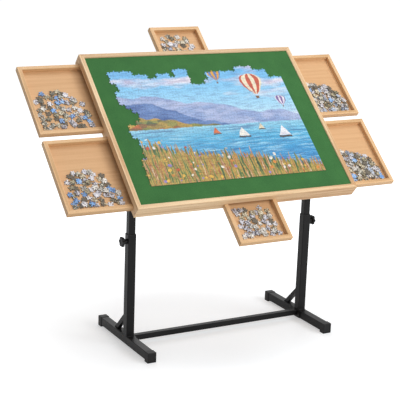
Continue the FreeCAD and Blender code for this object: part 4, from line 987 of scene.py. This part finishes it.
# The upper screws' head is the highest in y, and the lower ones' is the lowest in z.
head_end = Vector((0, high.y - PAN_RADIUS * MM * UP_SLOPE.y, 0))
head_end.z = low.z + PAN_RADIUS * MM * UP_SLOPE.z + SCREW_SPREAD * MM * UP_SLOPE.z
pan_places = []
for x in (low.x + PAN_RADIUS * MM, high.x - PAN_RADIUS * MM):
    for down in (0, SCREW_SPREAD):
        at = head_end + Vector((x, 0, 0)) - UP_SLOPE * down * MM + OUT * PAN_HEIGHT * MM
        pan_places.append(Matrix.Translation(at) @ Matrix.Rotation(TILT + math.pi, 4, "X"))
pans = place_copies(pan, "bracket_pan_screws", pan_places, ZINC, "board")
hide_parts("bracket_screws")

# Fillet welds where columns and braces stand on the feet, with a ripple each 1.5 mm.
RIPPLE, BEAD_RADIUS, VALLEY_SHARE, BEAD_END = 1.5, 2.6, 0.84, 0.8
COLUMN_BEAD, BRACE_BEAD, BRACE_SINK = 29, 14, 1


def weld_bead(length):
    count = int(length / RIPPLE)
    profile = [(BEAD_END, -length / 2)]
    for step in range(1, count):
        radius = BEAD_RADIUS if step % 2 else BEAD_RADIUS * VALLEY_SHARE
        profile.append((radius, step * length / count - length / 2))
    return turned_blank("weld_bead", profile + [(BEAD_END, length / 2)])


def along_x(x, y, z):
    return Matrix.Translation((x, y, z)) @ Matrix.Rotation(math.radians(90), 4, "Y")


column_welds, brace_welds = [], []
brace_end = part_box("braces")[1] - Vector((0, BRACE_SINK * MM, BRACE_SINK * MM))
for side in ("left", "right"):
    column_low, column_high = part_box(f"outer_column_{side}")
    x = (column_low.x + column_high.x) / 2
    foot_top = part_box(f"foot_tube_{side}")[1].z
    for y in (column_low.y, column_high.y):
        column_welds.append(along_x(x, y, foot_top))
    brace_welds.append(along_x(x, brace_end.y, foot_top))
    brace_welds.append(along_x(x, column_high.y, brace_end.z))
place_copies(weld_bead(COLUMN_BEAD), "column_welds", column_welds, POWDER_COAT, "stand")
place_copies(weld_bead(BRACE_BEAD), "brace_welds", brace_welds, POWDER_COAT, "stand")


# ------------------------------------------------------------------ floor, light and camera
# Sizes and places here are in metres, and the floor's two tones are linear colours.
FLOOR_SIZE = 60
PLAIN_FLOOR = (0.8, 0.8, 0.8, 1.0)
# The seen tone is a darker grey under the glow, and a little bluer: a painted cool cast that
# cancels the warm light bounced from the wood.
SEEN_FLOOR = (0.652, 0.68, 0.708, 1.0)


def seen_share(add):
    """One where the camera, a reflection or a look through glass meets a thing, nought for the
    light that it sends on."""
    path = add("LightPath")
    seen = (path["Is Camera Ray"], path["Is Glossy Ray"])
    seen = add("Math", seen, operation="MAXIMUM")[0]
    return add("Math", (seen, path["Is Transmission Ray"]), operation="MAXIMUM")[0]


def pale_floor():
    """A matt white floor: what is seen of it is lifted to white by a painted glow, most of all away
    from the table: painted light, which fades the table's shadow out there and keeps it near the
    table."""
    made, add = new_material("white_studio_floor")
    plain = add("BsdfDiffuse", (PLAIN_FLOOR,))[0]
    shaded = add("BsdfDiffuse", (SEEN_FLOOR,))[0]
    away = add("VectorMath", (add("TexCoord")["Object"],), operation="LENGTH")["Value"]
    # The painted glow grows from 0.45 at 0.35 m from the middle to 0.82 at 1 m and beyond, painted
    # light that fades the table's shadow away from it.
    limits = {"From Min": 0.35, "From Max": 1.0, "To Min": 0.45, "To Max": 0.82}
    lift = add("MapRange", {"Value": away, **limits})[0]
    painted_glow = add("Emission", (linear("#FFFFFF"), lift))[0]
    lifted = add("AddShader", (shaded, painted_glow))[0]
    mixed = add("MixShader", (seen_share(add), plain, lifted))[0]
    add("OutputMaterial", {"Surface": mixed})
    return made


bpy.ops.object.select_all(action="DESELECT")
bpy.ops.mesh.primitive_plane_add(size=FLOOR_SIZE, location=(0, 0, 0))
floor = bpy.context.object
floor.name = "studio_floor"
floor.data.materials.append(pale_floor())

# The world lights the table with so much white, and is seen as full white.
AMBIENT = 0.31
world = bpy.data.worlds.new("studio")
bpy.context.scene.world = world
world.use_nodes = True
world.node_tree.nodes.clear()
add = partial(node, world.node_tree)
strength = add("MapRange", {"Value": seen_share(add), "To Min": AMBIENT, "To Max": 1.0})[0]
sky = add("Background", (linear("#FFFFFF"), strength))[0]
add("OutputWorld", {"Surface": sky})

SOFTBOXES = (  # place, target, size, and power in watts
    ("key_light", (3.6, -3.4, 3.6), (0, 0, 0.6), 2.4, 112),
    ("front_light", (1.6, -5.2, 1.9), (0, 0, 0.6), 3.0, 78),
    ("top_light", (0.6, 0.4, 4.6), (0, 0, 0.5), 3.0, 73),
    ("back_light", (1.5, 3.6, 3.6), (0, 0, 0.6), 2.6, 48),
)
for name, place, target, size, power in SOFTBOXES:
    lamp = bpy.data.lights.new(name, "AREA")
    lamp.shape, lamp.size, lamp.energy = "SQUARE", size, power
    item = new_object(name, lamp)
    item.location = place
    item.rotation_euler = (Vector(target) - Vector(place)).to_track_quat("-Z", "Y").to_euler()

# The camera looks at the target from so far off, turned and raised by these angles; its focal
# length is in pixels of the frame.
AZIMUTH, ELEVATION, ROLL = math.radians(29.1), math.radians(14.5), math.radians(2.1)
DISTANCE = 4.2829
TARGET = Vector((-0.0710, -0.0559, 0.5022))
FOCAL = 1213.2
FRAME_PIXELS = 400
camera_data = bpy.data.cameras.new("camera")
camera_data.sensor_fit = "HORIZONTAL"
camera_data.sensor_width = 36
camera_data.lens = FOCAL / FRAME_PIXELS * camera_data.sensor_width
camera = new_object("camera", camera_data)
back = Vector((-math.sin(AZIMUTH), -math.cos(AZIMUTH), 0)) * math.cos(ELEVATION)
away = back + Vector((0, 0, math.sin(ELEVATION)))
level = Vector((math.cos(AZIMUTH), -math.sin(AZIMUTH), 0))
upright = away.cross(level)
right = level * math.cos(ROLL) + upright * math.sin(ROLL)
top = -level * math.sin(ROLL) + upright * math.cos(ROLL)
turned = Matrix((right, top, away)).transposed().to_4x4()
camera.matrix_world = Matrix.Translation(TARGET + away * DISTANCE) @ turned
bpy.context.scene.camera = camera
bpy.context.scene.view_settings.view_transform = "Standard"
